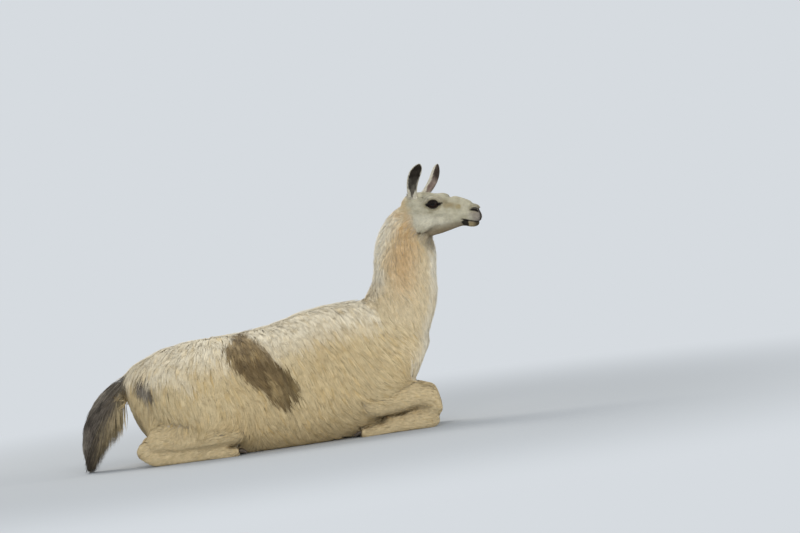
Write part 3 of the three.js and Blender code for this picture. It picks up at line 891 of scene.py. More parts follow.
def headMarks(points, slopes):  # the numbers are millimetres on the head's axes
    inHead = toHead(points)
    folds = folded(inHead)
    ahead, aside, above = folds.T
    fine, mottle = faceFine.at(points), faceMottle.at(points)
    colour = np.tile(cards["face"], (len(points), 1))

    def tone(name, share):
        nonlocal colour
        colour = mixRows(colour, cards[name], np.clip(share, 0, 1))

    def spotAt(forward, up, wide=1, high=1):
        return np.hypot((ahead - forward) / wide, (above - up) / high)

    tone("faceShade", np.clip(0.25 + 0.55 * mottle, 0, 1) * 0.6)
    tone("cheek", 0.6 * bell(above + 30, 26) * smoothStep(220, 150, ahead))  # pale cheek and jaw
    # painted shade along the bottom edge of the jaw
    tone("faceShade", 0.55 * bell(above + 72, 16) * smoothStep(120, 170, ahead))
    tone("tan", 0.25 * smoothStep(-50, -80, above - 0.25 * (ahead - 130)))  # under the jaw
    # painted shade in the crease running back from the corner of the mouth
    tone("faceShade", 0.7 * bell(rodDistance(folds, (236, 44, -26), (165, 62, -50), 0.5, 0.5), 5))
    tone("faceShade", 0.8 * bell(spotAt(168, 48), 16) + 0.5 * bell(spotAt(150, 30), 9))

    # a yellowish ring on the right of the nose, freckles, and brownish marks on the brow that paint the shade
    # under its ridge of hair
    ring = np.hypot(ahead - 222, (above - 33) * 1.1)
    ringShare = (0.75 * bell(ring - 6, 4.5) + 0.30 * bell(ring, 5)) * np.clip(0.7 + 0.7 * fine, 0.2, 1)
    tone("spot", ringShare * np.where(inHead[:, 1] < 0, 1, 0.35))
    tone("lip", 0.75 * (smoothStep(0.0, 0.4, mottle + 0.4 * fine) * bell(spotAt(190, 36, 30, 14), 1)))
    # painted shade under the ridge of hair on the brow
    tone("patchLight", 0.6 * (smoothStep(-0.05, 0.35, mottle + 0.5 * fine) * bell(spotAt(136, 70, 24, 9), 1)))

    # the muzzle, the shade under the jaw, the nostrils and the split of the lip
    tone("muzzle", 0.8 * smoothStep(15, -13, eggDistance(folds, (298, 10, 4), (34, 28, 36)) + 5 * fine))
    tone("faceShade", 0.6 * bell(eggDistance(folds, (284, 20, 30), (18, 12, 13)), 5))
    # painted shade on the downward-facing underside of the jaw
    jawUnderShade = smoothStep(-0.1, -0.7, slopes[:, 2] + 0.15 * mottle) * smoothStep(55, 110, ahead)
    jawUnderShade = jawUnderShade * smoothStep(266, 240, ahead) * smoothStep(-36, -54, above - 0.25 * (ahead - 130))
    tone("patch", 0.55 * jawUnderShade)
    nostril = nostrilDistance(folds)
    tone("rim", smoothStep(4.0, 1.0, nostril) * (1 - 0.55 * smoothStep(26, 34, above)))
    # the black inside the nostril is painted shade deep in its opening
    tone("black", smoothStep(1.6, -0.5, nostril) * (1 - 0.5 * smoothStep(25, 32, above)))
    # painted shade down the front of the muzzle, over the split of the upper lip
    muzzleFrontShade = 0.95 * bell(aside, 8.5) * smoothStep(286, 298, ahead)
    tone("rim", muzzleFrontShade * smoothStep(-26, -18, above) * smoothStep(44, 34, above))

    # the lips, the line between them and the black patch at their corner
    overLine = above - lipLine(ahead)
    tone("lip", 0.8 * smoothStep(252, 272, ahead) * smoothStep(1, -5, overLine))
    # painted shade down the front edge of the lower lip
    lipFrontShade = 0.75 * smoothStep(284, 298, ahead + 3 * fine) * smoothStep(1, -4, overLine)
    tone("rim", lipFrontShade * smoothStep(-46, -34, above))
    tone("rim", bell(overLine, 3.4) * smoothStep(mouth["corner"] - 8, mouth["corner"] + 2, ahead))
    corner = np.hypot((ahead - 254 + 0.35 * (above + 28)) / 15.5, (above + 27) / 15)
    tone("black", 0.95 * smoothStep(1.2, 0.8, corner + 0.30 * fine + 0.45 * mottle) * (aside > 8))

    # the bare dark rims of the lids, the folds round them and the tear duct
    along, rise, outward = lidPlaces(folds)
    upper, lower = slitEdges(along)
    beyond = np.maximum(np.abs(along) - lidSlit["half"], 0)
    gap = np.hypot(beyond, np.maximum(np.maximum(rise - upper, -rise - lower), 0))
    facing = outward > -6
    tone("faceShade", 0.85 * bell(gap - 10, 6) * facing)
    overEye = smoothStep(4, 14, above - eyePlan["middle"][2])
    fromEye = np.linalg.norm(folds - eyePlan["middle"], axis=1)
    # painted shade in the troughs of the folds over the eye
    foldTroughShade = smoothStep(0.0, 0.8, foldWave(fromEye)) * smoothStep(25, 29, fromEye)
    tone("muzzle", 0.55 * foldTroughShade * smoothStep(50, 42, fromEye) * overEye)
    # painted shade under the bag below the eye
    tone("faceShade", 0.75 * bell(spotAt(120, 4, 13, 5), 1) * (aside > 30))
    tone("rim", smoothStep(7.5, 4.0, gap - 2.4 * (rise > 0)) * facing)
    ductStart = eyePlan["middle"] + 20 * slitAxis + 9 * eyeAxis
    ductEnd = eyePlan["middle"] + 37 * slitAxis + 5 * riseAxis + 2 * eyeAxis
    tone("rim", 0.9 * smoothStep(3, 0, rodDistance(folds, ductStart, ductEnd, 5, 2)))
    return np.clip(colour * (1 + 0.10 * fine)[:, None], 0, 1)


def earMarks(points, colour):
    for ear in earPlaces.values():
        inward, across, along = earPlace(points, ear).T
        outside = earFields[ear["side"]][0].at(points)
        isEar = smoothStep(-3, 6, along) * (outside < 0.006)
        share = np.clip(along / earPlan["length"], 0, 0.985)
        aside = np.abs(across - earPlan["curl"] * np.sin(share * math.pi))
        face = smoothStep(0.2, 2.5, inward) * smoothStep(2.4, 5.4, earHalf(ear, share) - aside)
        hollow = np.maximum(smoothStep(-0.0006, -0.0022, outside), face)
        hollow = hollow * smoothStep(0, 5, 3 + 0.42 * along - aside)
        dark = "earDark" if ear["side"] < 0 else "earGrey"
        colour = mixRows(colour, cards["earPale"], isEar * 0.8)
        colour = mixRows(colour, cards[dark], isEar * hollow * (0.9 + 0.1 * small.at(points)))
        tipDark = smoothStep(62, 96, along) * isEar * hollow
        colour = mixRows(colour, cards["earDark"], 0.85 * tipDark)
    return colour


def coatColour(points, slopes):
    colour = bodyMarks(points, slopes)
    headAway = groupFields["head"].at(points)
    near = (points[:, 2] > joinHeight - 0.03) & (headAway < 0.05)
    near |= points[:, 2] > boxes["head"][1][2] - 0.02
    if near.any():
        places = points[near]
        inHead = toHead(places)
        ragged = inHead[:, 0] + 0.43 * inHead[:, 2] - 28 + 16 * medium.at(places) + 8 * small.at(places)
        faceShare = smoothStep(0.045, 0.018, headAway[near]) * smoothStep(-14, 16, ragged)
        faceShare = np.maximum(faceShare, smoothStep(70, 84, inHead[:, 2]))
        colour[near] = earMarks(places, mixRows(colour[near], headMarks(places, slopes[near]), faceShare))
    return colour


# the whole skin, with the lids set in it

for side in (1, -1):
    bodyPart.from_mesh(meshFrom("lid", *lidMesh(side)))
skinMesh = bpy.data.meshes.new("skin")
bodyPart.to_mesh(skinMesh)
skin = linkObject("skin", skinMesh)
skinMesh.shade_smooth()
skinMesh.materials.append(skinMaterial)
skinPoints = meshPoints(skinMesh)
skinTint = coatColour(skinPoints, skinSlope(skinPoints))
underWool = 0.45 * smoothStep(0.004, 0.014, depthAt(skinPoints))  # greyer under the wool
greys = np.repeat(skinTint.mean(axis=1, keepdims=True), 3, axis=1) * 1.05
paint(skinMesh, mixRows(skinTint, greys, underWool))
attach(skin, "root")
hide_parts(*fleshNames, "ear_right", "ear_left")
print("skin", sum(len(face.vertices) - 2 for face in skinMesh.polygons), "triangles")

for side, sideName in ((-1, "right"), (1, "left")):
    ball = eyeBall("eyeball_" + sideName, side)
    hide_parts("eye_" + sideName)
print("eyes")


# which way the coat lies: x, out and z of a place on the body, and the way its hair points there

lieGuides = [
    (-0.61, 0.02, 0.41, -0.85, 0.35, -0.40), (-0.45, 0.04, 0.46, -0.35, 0.85, -0.30),
    (-0.20, 0.04, 0.48, 0.15, 0.88, -0.3), (0.10, 0.04, 0.52, 0.35, 0.82, -0.30),
    (0.30, 0.04, 0.55, 0.45, 0.74, -0.45), (-0.58, 0.12, 0.30, -0.30, 0.35, -0.90),
    (-0.42, 0.20, 0.32, 0.12, 0.25, -0.95), (-0.15, 0.23, 0.30, 0.34, 0.12, -0.92),
    (0.10, 0.24, 0.30, 0.38, 0.08, -0.92), (0.30, 0.21, 0.36, 0.50, 0.05, -0.86),
    (0.42, 0.17, 0.36, 0.62, 0.02, -0.78), (0.52, 0.03, 0.30, 0.25, 0.25, -0.93),
    (-0.40, 0.24, 0.12, 0.40, 0.25, -0.88), (-0.10, 0.24, 0.10, 0.35, 0.20, -0.92),
    (0.25, 0.23, 0.10, 0.50, 0.15, -0.86), (-0.62, 0.03, 0.22, 0.10, 0.30, -0.95),
    (0.42, 0.03, 0.58, 0.25, 0.45, -0.85), (0.50, 0.11, 0.58, 0.35, 0.05, -0.94),
    (0.60, 0.02, 0.56, 0.35, 0.10, -0.93), (0.44, 0.02, 0.72, -0.38, 0.10, -0.92),
    (0.53, 0.09, 0.72, 0.05, 0.08, -1.0), (0.63, 0.02, 0.70, 0.28, 0.05, -0.95),
    (0.50, 0.02, 0.84, -0.55, 0.10, -0.83), (0.57, 0.07, 0.82, -0.15, 0.08, -0.98),
    (-0.68, 0.00, 0.42, -0.90, 0.06, -0.36), (-0.76, 0.00, 0.32, -0.66, 0.05, -0.74),
    (-0.82, 0.00, 0.18, -0.34, 0.05, -0.94), (-0.85, 0.00, 0.06, -0.12, 0.05, -0.99),
]
lieAlongLegs = {"forearm": (1, 0, -0.2), "shank": (-1, 0, -0.2)}

guidePlaces = [guide[:3] for guide in lieGuides]
guideWays = [guide[3:] for guide in lieGuides]
for name in names:
    for part, way in lieAlongLegs.items():
        if part in name and "right" in name:
            low, high = boxes[name]
            for share in (0.15, 0.5, 0.85):
                spot = low + (high - low) * share
                guidePlaces.append((spot[0], abs(low[1] + high[1]) / 2, (low[2] + high[2]) / 2))
                guideWays.append(way)
guidePlaces, guideWays = np.array(guidePlaces), unitRows(np.array(guideWays, float))


def bodyLie(points):
    places = folded(points)
    total = np.zeros_like(points)
    for place, way in zip(guidePlaces, guideWays):
        gap = np.sum(((places - place) * [1, 0.8, 1.25]) ** 2, axis=1)
        total += way / (gap + 0.0012)[:, None] ** 2
    total[:, 1] *= np.clip(points[:, 1] / 0.016, -1, 1)  # along the middle the coat lies straight
    return unitRows(total)


def headLie(points):
    inHead = toHead(points)
    ahead, out, above = inHead.T
    sides = np.where(out < 0, -1, 1)
    aside = np.abs(out)
    way = np.stack([np.full(len(points), -1.0), 0.10 * sides, np.full(len(points), -0.12)], axis=1)
    crown = smoothStep(60, 84, above) * smoothStep(170, 90, ahead)
    way += crown[:, None] * [0.2, 0, 0.35]
    cheek = smoothStep(10, -40, above) * smoothStep(200, 90, ahead)
    way += cheek[:, None] * [0.3, 0, -0.45]
    brow = bell(np.hypot(ahead - 150, above - 84), 22)
    way += brow[:, None] * [0.5, 0, 0.9]
    fromEyes = np.stack([ahead, aside, above], axis=1) - eyePlan["middle"]
    away = unitRows(fromEyes - (fromEyes @ eyeAxis)[:, None] * eyeAxis)
    away[:, 1] *= sides
    way += away * (1.3 * smoothStep(46, 20, np.linalg.norm(fromEyes, axis=1)))[:, None]
    lips = smoothStep(258, 290, ahead) * smoothStep(34, 16, above)
    overLips = np.stack([np.full(len(points), 0.1), 0.35 * sides, np.where(above > -18, -0.9, -0.2)], axis=1)
    way += lips[:, None] * overLips
    return unitRows(way @ headAxes)


def earLie(points, way):
    for ear in earPlaces.values():
        local = earPlace(points, ear)
        tipWard = unitRows(fromHead(placeEar(local + [0, 0, 1], ear)) - points)
        isEar = smoothStep(2, 16, local[:, 2]) * (earFields[ear["side"]][0].at(points) < 0.008)
        way = mixRows(way, tipWard, isEar)
    return way


def lieAt(points, slopes):
    way = bodyLie(points)
    near = points[:, 2] > joinHeight - 0.05
    if near.any():
        share = smoothStep(0.045, 0.0, groupFields["head"].at(points[near]))
        way[near] = earLie(points[near], mixRows(way[near], headLie(points[near]), share))
    way -= np.sum(way * slopes, axis=1)[:, None] * slopes
    return unitRows(way)


# tufts: closed spindles with a ridge, which follow the skin at a rising height

def growPaths(roots, ways, lengths, heights, steps):
    place, way = roots.copy(), ways.copy()
    path = [place]
    for step in range(1, steps + 1):
        share = step / steps
        place = place + way * (lengths / steps)[:, None]
        for _ in range(2):
            slope = skinSlope(place)
            gap = np.clip(heights * share ** 0.5 - skinDistance(place), -0.02, 0.02)
            place = place + slope * gap[:, None]
        way = unitRows(way - np.sum(way * slope, axis=1)[:, None] * slope)
        place[:, 2] = np.maximum(place[:, 2], 0.0008)
        path.append(place)
    return np.stack(path, axis=1)


def shortened(paths, keep):  # each tuft cut off at its own share of its length
    at = np.linspace(0, 1, paths.shape[1])[None] * keep[:, None] * (paths.shape[1] - 1)
    low = np.minimum(at.astype(int), paths.shape[1] - 2)
    part = (at - low)[:, :, None]
    rows = np.arange(len(paths))[:, None]
    return paths[rows, low] * (1 - part) + paths[rows, low + 1] * part


def shortOfHollows(paths, slopes, lengths):  # a tuft ends where it would climb the far side of a hollow
    steps = np.diff(paths, axis=1)
    sizes = np.linalg.norm(steps, axis=2)
    climb = np.sum(steps[:, -1] * slopes, axis=1) / np.maximum(sizes[:, -1], 1e-6)
    leap = sizes.max(axis=1) / (lengths / steps.shape[1])
    bad = np.maximum(smoothStep(0.12, 0.5, climb), smoothStep(1.4, 1.9, leap))
    return shortened(paths, 1 - 0.68 * bad)


def gatherPaths(paths, roots, slopes, each, pull):  # tufts drawn together into locks
    centres = dice.choice(len(roots), max(len(roots) // each, 1), replace=False)
    tree = kdtree.KDTree(len(centres))
    for i, centre in enumerate(centres):
        tree.insert(roots[centre], i)
    tree.balance()
    lock = np.array([tree.find(root)[1] for root in roots])
    share = np.linspace(0, 1, paths.shape[1])[None, :, None]
    alike = smoothStep(0.55, 0.92, np.sum(slopes * slopes[centres[lock]], axis=1))
    alike *= smoothStep(0.055, 0.025, np.linalg.norm(roots - roots[centres[lock]], axis=1))
    gathered = paths + (paths[centres[lock]] - paths) * share * pull * alike[:, None, None]
    return gathered, lock, len(centres)


def tuftFrame(paths, sides, ring):  # across a tuft at one of its rings, and up out of the coat
    tangent = unitRows(paths[:, ring + 1] - paths[:, ring - 1])
    across = unitRows(np.cross(tangent, sides[:, ring]))
    return across, np.cross(across, tangent)


def spindleMesh(paths, widths, sides, thickness, swell):
    count, rings = len(paths), paths.shape[1]
    inner = rings - 2
    points = np.empty((count, 3 * inner + 2, 3))
    points[:, 0], points[:, -1] = paths[:, 0], paths[:, -1]
    for ring in range(1, rings - 1):
        across, rise = tuftFrame(paths, sides, ring)
        half = (widths * swell[ring - 1] / 2)[:, None]
        first = 3 * (ring - 1) + 1
        points[:, first] = paths[:, ring] - across * half
        points[:, first + 1] = paths[:, ring] + across * half
        points[:, first + 2] = paths[:, ring] + rise * half * thickness
    faces = [[0, 2, 1], [0, 3, 2], [0, 1, 3]]
    for ring in range(inner - 1):
        a = 3 * ring + 1
        for p, q in ((0, 1), (1, 2), (2, 0)):
            faces += [[a + p, a + q, a + 3 + q], [a + p, a + 3 + q, a + 3 + p]]
    a, tip = 3 * (inner - 1) + 1, 3 * inner + 1
    faces += [[a, a + 1, tip], [a + 1, a + 2, tip], [a + 2, a, tip]]
    faces = np.array(faces)[:, ::-1]
    every = (faces[None] + (np.arange(count) * points.shape[1])[:, None, None]).reshape(-1, 3)
    return points.reshape(-1, 3), every


# a tuft shades much as the skin under it does, so the coat looks soft
def softNormals(paths, sides, lean):
    count, rings = len(paths), paths.shape[1]
    inner = rings - 2
    tops = np.empty((count, 3 * inner + 2, 3))
    under = np.empty_like(tops)
    tops[:, 0], tops[:, -1] = sides[:, 0], sides[:, -1]
    for ring in range(1, rings - 1):
        across, rise = tuftFrame(paths, sides, ring)
        first = 3 * (ring - 1) + 1
        top = unitRows(0.5 * rise + 0.5 * sides[:, ring])
        tops[:, first] = top - across * lean
        tops[:, first + 1] = top + across * lean
        tops[:, first + 2] = top
        under[:, first:first + 3] = -rise[:, None]
    under[:, 0], under[:, -1] = under[:, 1], under[:, -2]
    between = [i for ring in range(inner - 1) for i in (3 + 6 * ring, 4 + 6 * ring)]
    isUnder = [0] + between + [3 + 6 * (inner - 1)]
    return tops, under, isUnder


def setNormals(mesh, faces, tops, under, isUnder):
    count = len(tops)
    perTuft = len(faces) // count
    corners = tops.reshape(-1, 3)[faces].reshape(count, perTuft, 3, 3)
    corners[:, isUnder] = under.reshape(-1, 3)[faces].reshape(count, perTuft, 3, 3)[:, isUnder]
    mesh.normals_split_custom_set(unitRows(corners.reshape(-1, 3)).astype(np.float32))


def fillMesh(mesh, points, triangles):
    mesh.vertices.add(len(points))
    mesh.vertices.foreach_set("co", points.astype(np.float32).ravel())
    mesh.loops.add(len(triangles) * 3)
    mesh.loops.foreach_set("vertex_index", triangles.astype(np.int32).ravel())
    mesh.polygons.add(len(triangles))
    starts = np.arange(0, len(triangles) * 3, 3, dtype=np.int32)
    mesh.polygons.foreach_set("loop_start", starts)
    mesh.update(calc_edges=True)


def spread(values, low=0.01, high=0.99):
    least, most = values.min(), values.max()
    return low + (high - low) * (values - least) / max(most - least, 1e-9)


tuftPatch = 0.003  # the size of one tuft on the coat's map
plainTuft = {
    "least": 0.5, "sink": 0.0008, "wave": 0, "thickness": 0.7, "lean": 0.45, "tuftTone": 0.05,
    "lockTone": 0.05, "lockHue": 0.02, "paintedRootShade": 0.72, "gapShadeShare": 0, "gapShadeTone": 0.74,
}
warmHue = np.array([0.35, 0.8, 1.7])


def coatPiece(name, roots, places, material, tufts):
    look = {**plainTuft, **tufts}
    count, rings = len(roots), look["rings"]
    slopes = skinSlope(roots)
    ways = lieAt(roots, slopes)
    swirl = Noise(look["swirlCell"], look["seed"]).at(roots) * look["swirl"]
    turned = dice.normal(0, look["stray"], count) + swirl
    ways = unitRows(ways * np.cos(turned)[:, None] + np.cross(slopes, ways) * np.sin(turned)[:, None])
    lengths = look["length"] * dice.uniform(0.7, 1.25, count)
    heights = look["height"] * dice.uniform(look["least"], 1.0, count)
    starts = roots - slopes * look["sink"]
    paths = shortOfHollows(growPaths(starts, ways, lengths, heights, rings + 1), slopes, lengths)

    # locks, which wave a little as one
    paths, lock, locks = gatherPaths(paths, roots, slopes, look["each"], look["pull"])
    wave = look["wave"] * dice.uniform(0.4, 1, locks)[lock]
    phase = dice.uniform(0, 2 * math.pi, locks)[lock]
    aside = np.cross(slopes, ways)
    for ring in range(1, rings + 2):
        bendNow = wave * np.sin(phase + ring * 2.1) * ring / (rings + 1)
        paths[:, ring] += aside * bendNow[:, None]
    if "fall" in look:  # loose hair hangs straight down from where it leaves the body
        paths[:, :, 2] -= look["fall"][:, None] * np.linspace(0, 1, rings + 2) ** 1.6
    paths[:, :, 2] = np.maximum(paths[:, :, 2], 0.0006)

    normals = np.repeat(slopes[:, None], rings + 2, axis=1)
    widths = look["width"] * dice.uniform(0.7, 1.3, count)
    points, faces = spindleMesh(paths, widths, normals, look["thickness"], look["swell"])
    mesh = bpy.data.meshes.new(name)
    fillMesh(mesh, points, faces)
    mesh.shade_smooth()
    setNormals(mesh, faces, *softNormals(paths, normals, look["lean"]))

    # its colour: each tuft and each lock a shade of its own, darker at the root as painted shade deep in the
    # coat
    shade = 1 + dice.normal(0, look["tuftTone"], count) + dice.normal(0, look["lockTone"], locks)[lock]
    # painted shade: a share of tufts drawn darker, as the gaps between locks, fewer where the coat faces up
    gapShadeShare = look["gapShadeShare"] * smoothStep(0.75, 0.3, slopes[:, 2])
    shade *= np.where(dice.uniform(0, 1, count) < gapShadeShare, look["gapShadeTone"], 1)
    along = np.concatenate([[0], np.repeat((np.arange(rings) + 1) / (rings + 1), 3), [1]])
    paintedDepthShade = look["paintedRootShade"] + (1 - look["paintedRootShade"]) * along
    hue = 1 - np.maximum(dice.normal(0, look["lockHue"], locks), 0)[lock][:, None] * warmHue
    colours = coatColour(roots, slopes) * hue
    tint = colours[:, None, :] * shade[:, None, None] * paintedDepthShade[None, :, None]
    paint(mesh, tint.reshape(-1, 3))

    across = np.concatenate([[0], np.tile([-1, 1, 0.3], rings), [0]])
    spot = np.stack([across, along * 2 - 1], axis=1) * tuftPatch / 2
    corners = (places[:, None, :] + spot[None]).reshape(-1, 2)
    unwrap = mesh.uv_layers.new(name="OFBake")
    unwrap.data.foreach_set("uv", corners[faces.ravel()].astype(np.float32).ravel())
    made = linkObject(name, mesh)
    mesh.materials.append(material)
    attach(made, "root")
    print(name, len(faces), "triangles")


# where each piece's tufts stand: even samples over the skin's own triangles

skinTriangles = meshTriangles(skinMesh)
a, b, c = (skinPoints[skinTriangles[:, i]] for i in range(3))
areas = np.linalg.norm(np.cross(b - a, c - a), axis=1) / 2
middles = (a + b + c) / 3
shares = regionShares(middles, 0.03)
shares += dice.uniform(-0.22, 0.22, shares.shape)  # the kinds mingle where they meet
kinds = np.argmax(shares, axis=1)
facing = skinSlope(middles)
earLevel = np.zeros(len(middles))
for ear in earPlaces.values():
    onEar = (earFields[ear["side"]][0].at(middles) < 0.004) & (middles[:, 2] > joinHeight)
    earLevel = np.maximum(earLevel, np.where(onEar, earPlace(middles, ear)[:, 2], 0))
isEar = earLevel > 7
hidden = (facing[:, 2] < -0.75) & (middles[:, 2] < 0.03)
kindIs = {name: (kinds == i) & ~isEar & ~hidden for i, name in enumerate(groupNames)}
kindIs["ears"] = isEar
for name, members in kindIs.items():
    print("skin area", name, round(areas[members].sum(), 4), "square metres")


def rootsOver(chosen, count, density=None):
    weights = areas * chosen
    if density is not None:
        weights = weights * density
    total = np.cumsum(weights)
    picks = (np.arange(count) + dice.uniform(0, 1, count)) / count * total[-1]
    triangle = np.minimum(np.searchsorted(total, picks), len(areas) - 1)
    u, v = dice.uniform(0, 1, (2, count))
    over = u + v > 1
    u, v = np.where(over, 1 - u, u), np.where(over, 1 - v, v)
    p, q, r = (skinPoints[skinTriangles[triangle, i]] for i in range(3))
    return p + (q - p) * u[:, None] + (r - p) * v[:, None]


def barePlaces(points):  # open eyes, nostrils and the parting of the lips
    places = folded(toHead(points))
    along, rise, outward = lidPlaces(places)
    upper, lower = slitEdges(along)
    openEye = (rise < upper + 3.2) & (rise > -lower - 3.0) & (outward > 0)
    openEye &= np.abs(along) < lidSlit["half"] + 2
    nostril = nostrilDistance(places) < 1.8
    parting = np.abs(places[:, 2] - lipLine(places[:, 0])) < 1.6
    parting &= places[:, 0] > mouth["corner"]
    return (openEye | nostril | parting) & (points[:, 2] > joinHeight)


def turnShare(aside, up):  # a whole turn as nought to one
    return (np.arctan2(aside, up) / (2 * math.pi)) % 1


trunkLook = {  # count in each quarter, height in depths of the coat there
    "count": 15500, "rings": 2, "length": 0.100, "width": 0.0036, "height": 1.06, "swell": (1.0, 0.8),
    "each": 9, "pull": 0.55, "wave": 0.005, "stray": 0.06, "swirl": 0.20, "swirlCell": 0.11, "seed": 41,
    "tuftTone": 0.04, "lockTone": 0.045, "paintedRootShade": 0.95, "thickness": 0.3, "lockHue": 0.06,
    "least": 0.78, "gapShadeShare": 0.08,
}
trunkPlan = {"middleZ": 0.25, "splitX": -0.06}
for side, sideName in ((-1, "right"), (1, "left")):
    for front, endName in ((1, "front"), (-1, "rear")):
        chosen = kindIs["trunk"] & (middles[:, 1] * side > 0)
        chosen &= (middles[:, 0] - trunkPlan["splitX"]) * front > 0
        roots = rootsOver(chosen, trunkLook["count"])
        upFlank = np.arctan2(np.abs(roots[:, 1]), trunkPlan["middleZ"] - roots[:, 2])
        places = np.stack([spread(roots[:, 0]), spread(upFlank)], axis=1)
        floorward = smoothStep(0.012, 0.06, roots[:, 2])
        byLegs = smoothStep(0.05, 0.01, groupFields["legs"].at(roots))
        length = trunkLook["length"] * (0.45 + 0.55 * floorward) * (1 - 0.55 * byLegs)
        look = dict(trunkLook, length=length, height=depthAt(roots) * trunkLook["height"])
        coatPiece(f"wool_{sideName}_{endName}", roots, places, woolMaterial, look)

neckLook = {  # height in depths of the coat there, as on the tail
    "count": 16000, "rings": 2, "length": 0.042, "width": 0.0021, "height": 1.08, "swell": (1.0, 0.75),
    "each": 5, "pull": 0.5, "wave": 0.0025, "stray": 0.16, "swirl": 0.22, "swirlCell": 0.05, "seed": 42,
    "tuftTone": 0.05, "lockTone": 0.06, "paintedRootShade": 0.9, "thickness": 0.35, "lockHue": 0.05, "least": 0.6,
}
roots = rootsOver(kindIs["neck"], neckLook["count"])
neckX = 0.44 + 0.30 * (roots[:, 2] - 0.40)
around = turnShare(roots[:, 1], neckX - roots[:, 0])
places = np.stack([spread(around), spread(roots[:, 2])], axis=1)
fringe = smoothStep(0.45, 0.95, np.abs(skinSlope(roots)[:, 0])) * smoothStep(0.46, 0.60, roots[:, 2])
upward = smoothStep(0.42, 0.80, roots[:, 2])
length = neckLook["length"] * (1.75 - 0.9 * upward)
look = dict(neckLook, length=length, height=depthAt(roots) * (neckLook["height"] + 0.60 * fringe))
coatPiece("wool_neck", roots, places, woolMaterial, look)

tailLook = {
    "count": 5200, "rings": 3, "length": 0.125, "width": 0.0030, "height": 1.1, "swell": (1.0, 0.9, 0.6),
    "each": 12, "pull": 0.5, "wave": 0.007, "stray": 0.10, "swirl": 0.12, "swirlCell": 0.06, "seed": 43,
    "tuftTone": 0.14, "lockTone": 0.22, "paintedRootShade": 0.7, "thickness": 0.5,
}
roots = rootsOver(kindIs["tail"], tailLook["count"])
around = turnShare(roots[:, 1], roots[:, 2] - 0.25 - 1.3 * (roots[:, 0] + 0.76))
places = np.stack([spread(around), spread(roots[:, 2] - roots[:, 0])], axis=1)
# long hair hangs off the underside
under = smoothStep(0.1, -0.8, skinSlope(roots)[:, 2]) * smoothStep(0.05, 0.16, roots[:, 2])
nearRump = under * smoothStep(-0.80, -0.71, roots[:, 0])
height = depthAt(roots) * tailLook["height"] + 0.022 * under
length = tailLook["length"] * (1 + 0.25 * under - 0.5 * nearRump)
look = dict(tailLook, height=height, length=length, fall=0.03 * under + 0.085 * nearRump)
coatPiece("wool_tail", roots, places, darkWoolMaterial, look)

legLook = {
    "count": 26000, "rings": 1, "length": 0.034, "width": 0.0037, "height": 0.0078, "swell": (1.0,),
    "each": 6, "pull": 0.35, "stray": 0.10, "swirl": 0.15, "swirlCell": 0.05, "seed": 44,
    "tuftTone": 0.04, "lockTone": 0.04, "paintedRootShade": 0.93, "thickness": 0.3, "lockHue": 0.04, "least": 0.65,
}
roots = rootsOver(kindIs["legs"], legLook["count"])
quarter = (roots[:, 0] > 0).astype(int) * 2 + (roots[:, 1] > 0)
places = np.empty((len(roots), 2))
for part in range(4):
    here = quarter == part
    leg = roots[here]
    middle = leg.mean(axis=0)
    corner = np.array([part // 2, part % 2]) * 0.5
    around = turnShare(leg[:, 1] - middle[1], middle[2] - leg[:, 2])
    places[here] = corner + 0.5 * np.stack([spread(leg[:, 0]), spread(around)], axis=1)
coatPiece("fur_legs", roots, places, furMaterial, legLook)

headLook = {
    "count": 32000, "rings": 1, "width": 0.0017, "swell": (1.0,), "each": 5, "pull": 0.2, "stray": 0.13,
    "swirl": 0.25, "swirlCell": 0.022, "seed": 45, "tuftTone": 0.035, "lockTone": 0.035, "paintedRootShade": 0.9,
    "thickness": 0.3, "sink": 0.0003,
}
muzzleShare = smoothStep(200, 290, toHead(middles)[:, 0])
roots = rootsOver(kindIs["head"], headLook["count"] + 1500, density=1 + 1.2 * muzzleShare)
roots = roots[~barePlaces(roots)][:headLook["count"]]  # the spare ones make up for those left out
inHead = toHead(roots)
fromEyes = np.linalg.norm(folded(inHead) - eyePlan["middle"], axis=1)
reachBack = smoothStep(275, 90, inHead[:, 0])
length = 0.0035 + 0.009 * reachBack + 0.010 * smoothStep(70, 10, inHead[:, 0])
length += 0.006 * bell(np.hypot(inHead[:, 0] - 150, inHead[:, 2] - 84), 22)
length *= 0.32 + 0.68 * smoothStep(30, 60, fromEyes)
byNeck = smoothStep(0.03, 0.0, groupFields["neck"].at(roots))
length += 0.014 * byNeck
width = headLook["width"] * (0.6 + 0.4 * smoothStep(0.003, 0.009, length))
height = 0.0006 + 0.11 * length + 0.008 * np.maximum(smoothStep(60, 0, inHead[:, 0]), 0.7 * byNeck)
around = turnShare(inHead[:, 1], 10 - inHead[:, 2])
places = np.stack([spread(inHead[:, 0]), spread(around)], axis=1)
look = dict(headLook, length=length, width=width, height=height)
coatPiece("fur_head", roots, places, furMaterial, look)

earLook = {
    "count": 11000, "rings": 1, "length": 0.011, "width": 0.0018, "height": 0.0026, "swell": (1.0,),
    "each": 4, "pull": 0.25, "stray": 0.15, "swirl": 0.2, "swirlCell": 0.02, "seed": 46,
    "tuftTone": 0.05, "lockTone": 0.05, "paintedRootShade": 0.85, "thickness": 0.3, "sink": 0.0003,
}
roots = rootsOver(isEar, earLook["count"])
places = np.zeros((len(roots), 2))
for ear in earPlaces.values():
    here = (toHead(roots)[:, 1] * ear["side"]) > 0
    local = earPlace(roots[here], ear)
    inner = (np.abs(earFields[ear["side"]][1].at(roots[here])) < 0.0025).astype(float)
    corner = np.stack([np.full(len(local), 0.0 if ear["side"] < 0 else 0.5), inner * 0.5], axis=1)
    onEar = np.stack([spread(local[:, 1], 0.02, 0.98), spread(local[:, 2], 0.02, 0.98)], axis=1)
    places[here] = corner + 0.5 * onEar
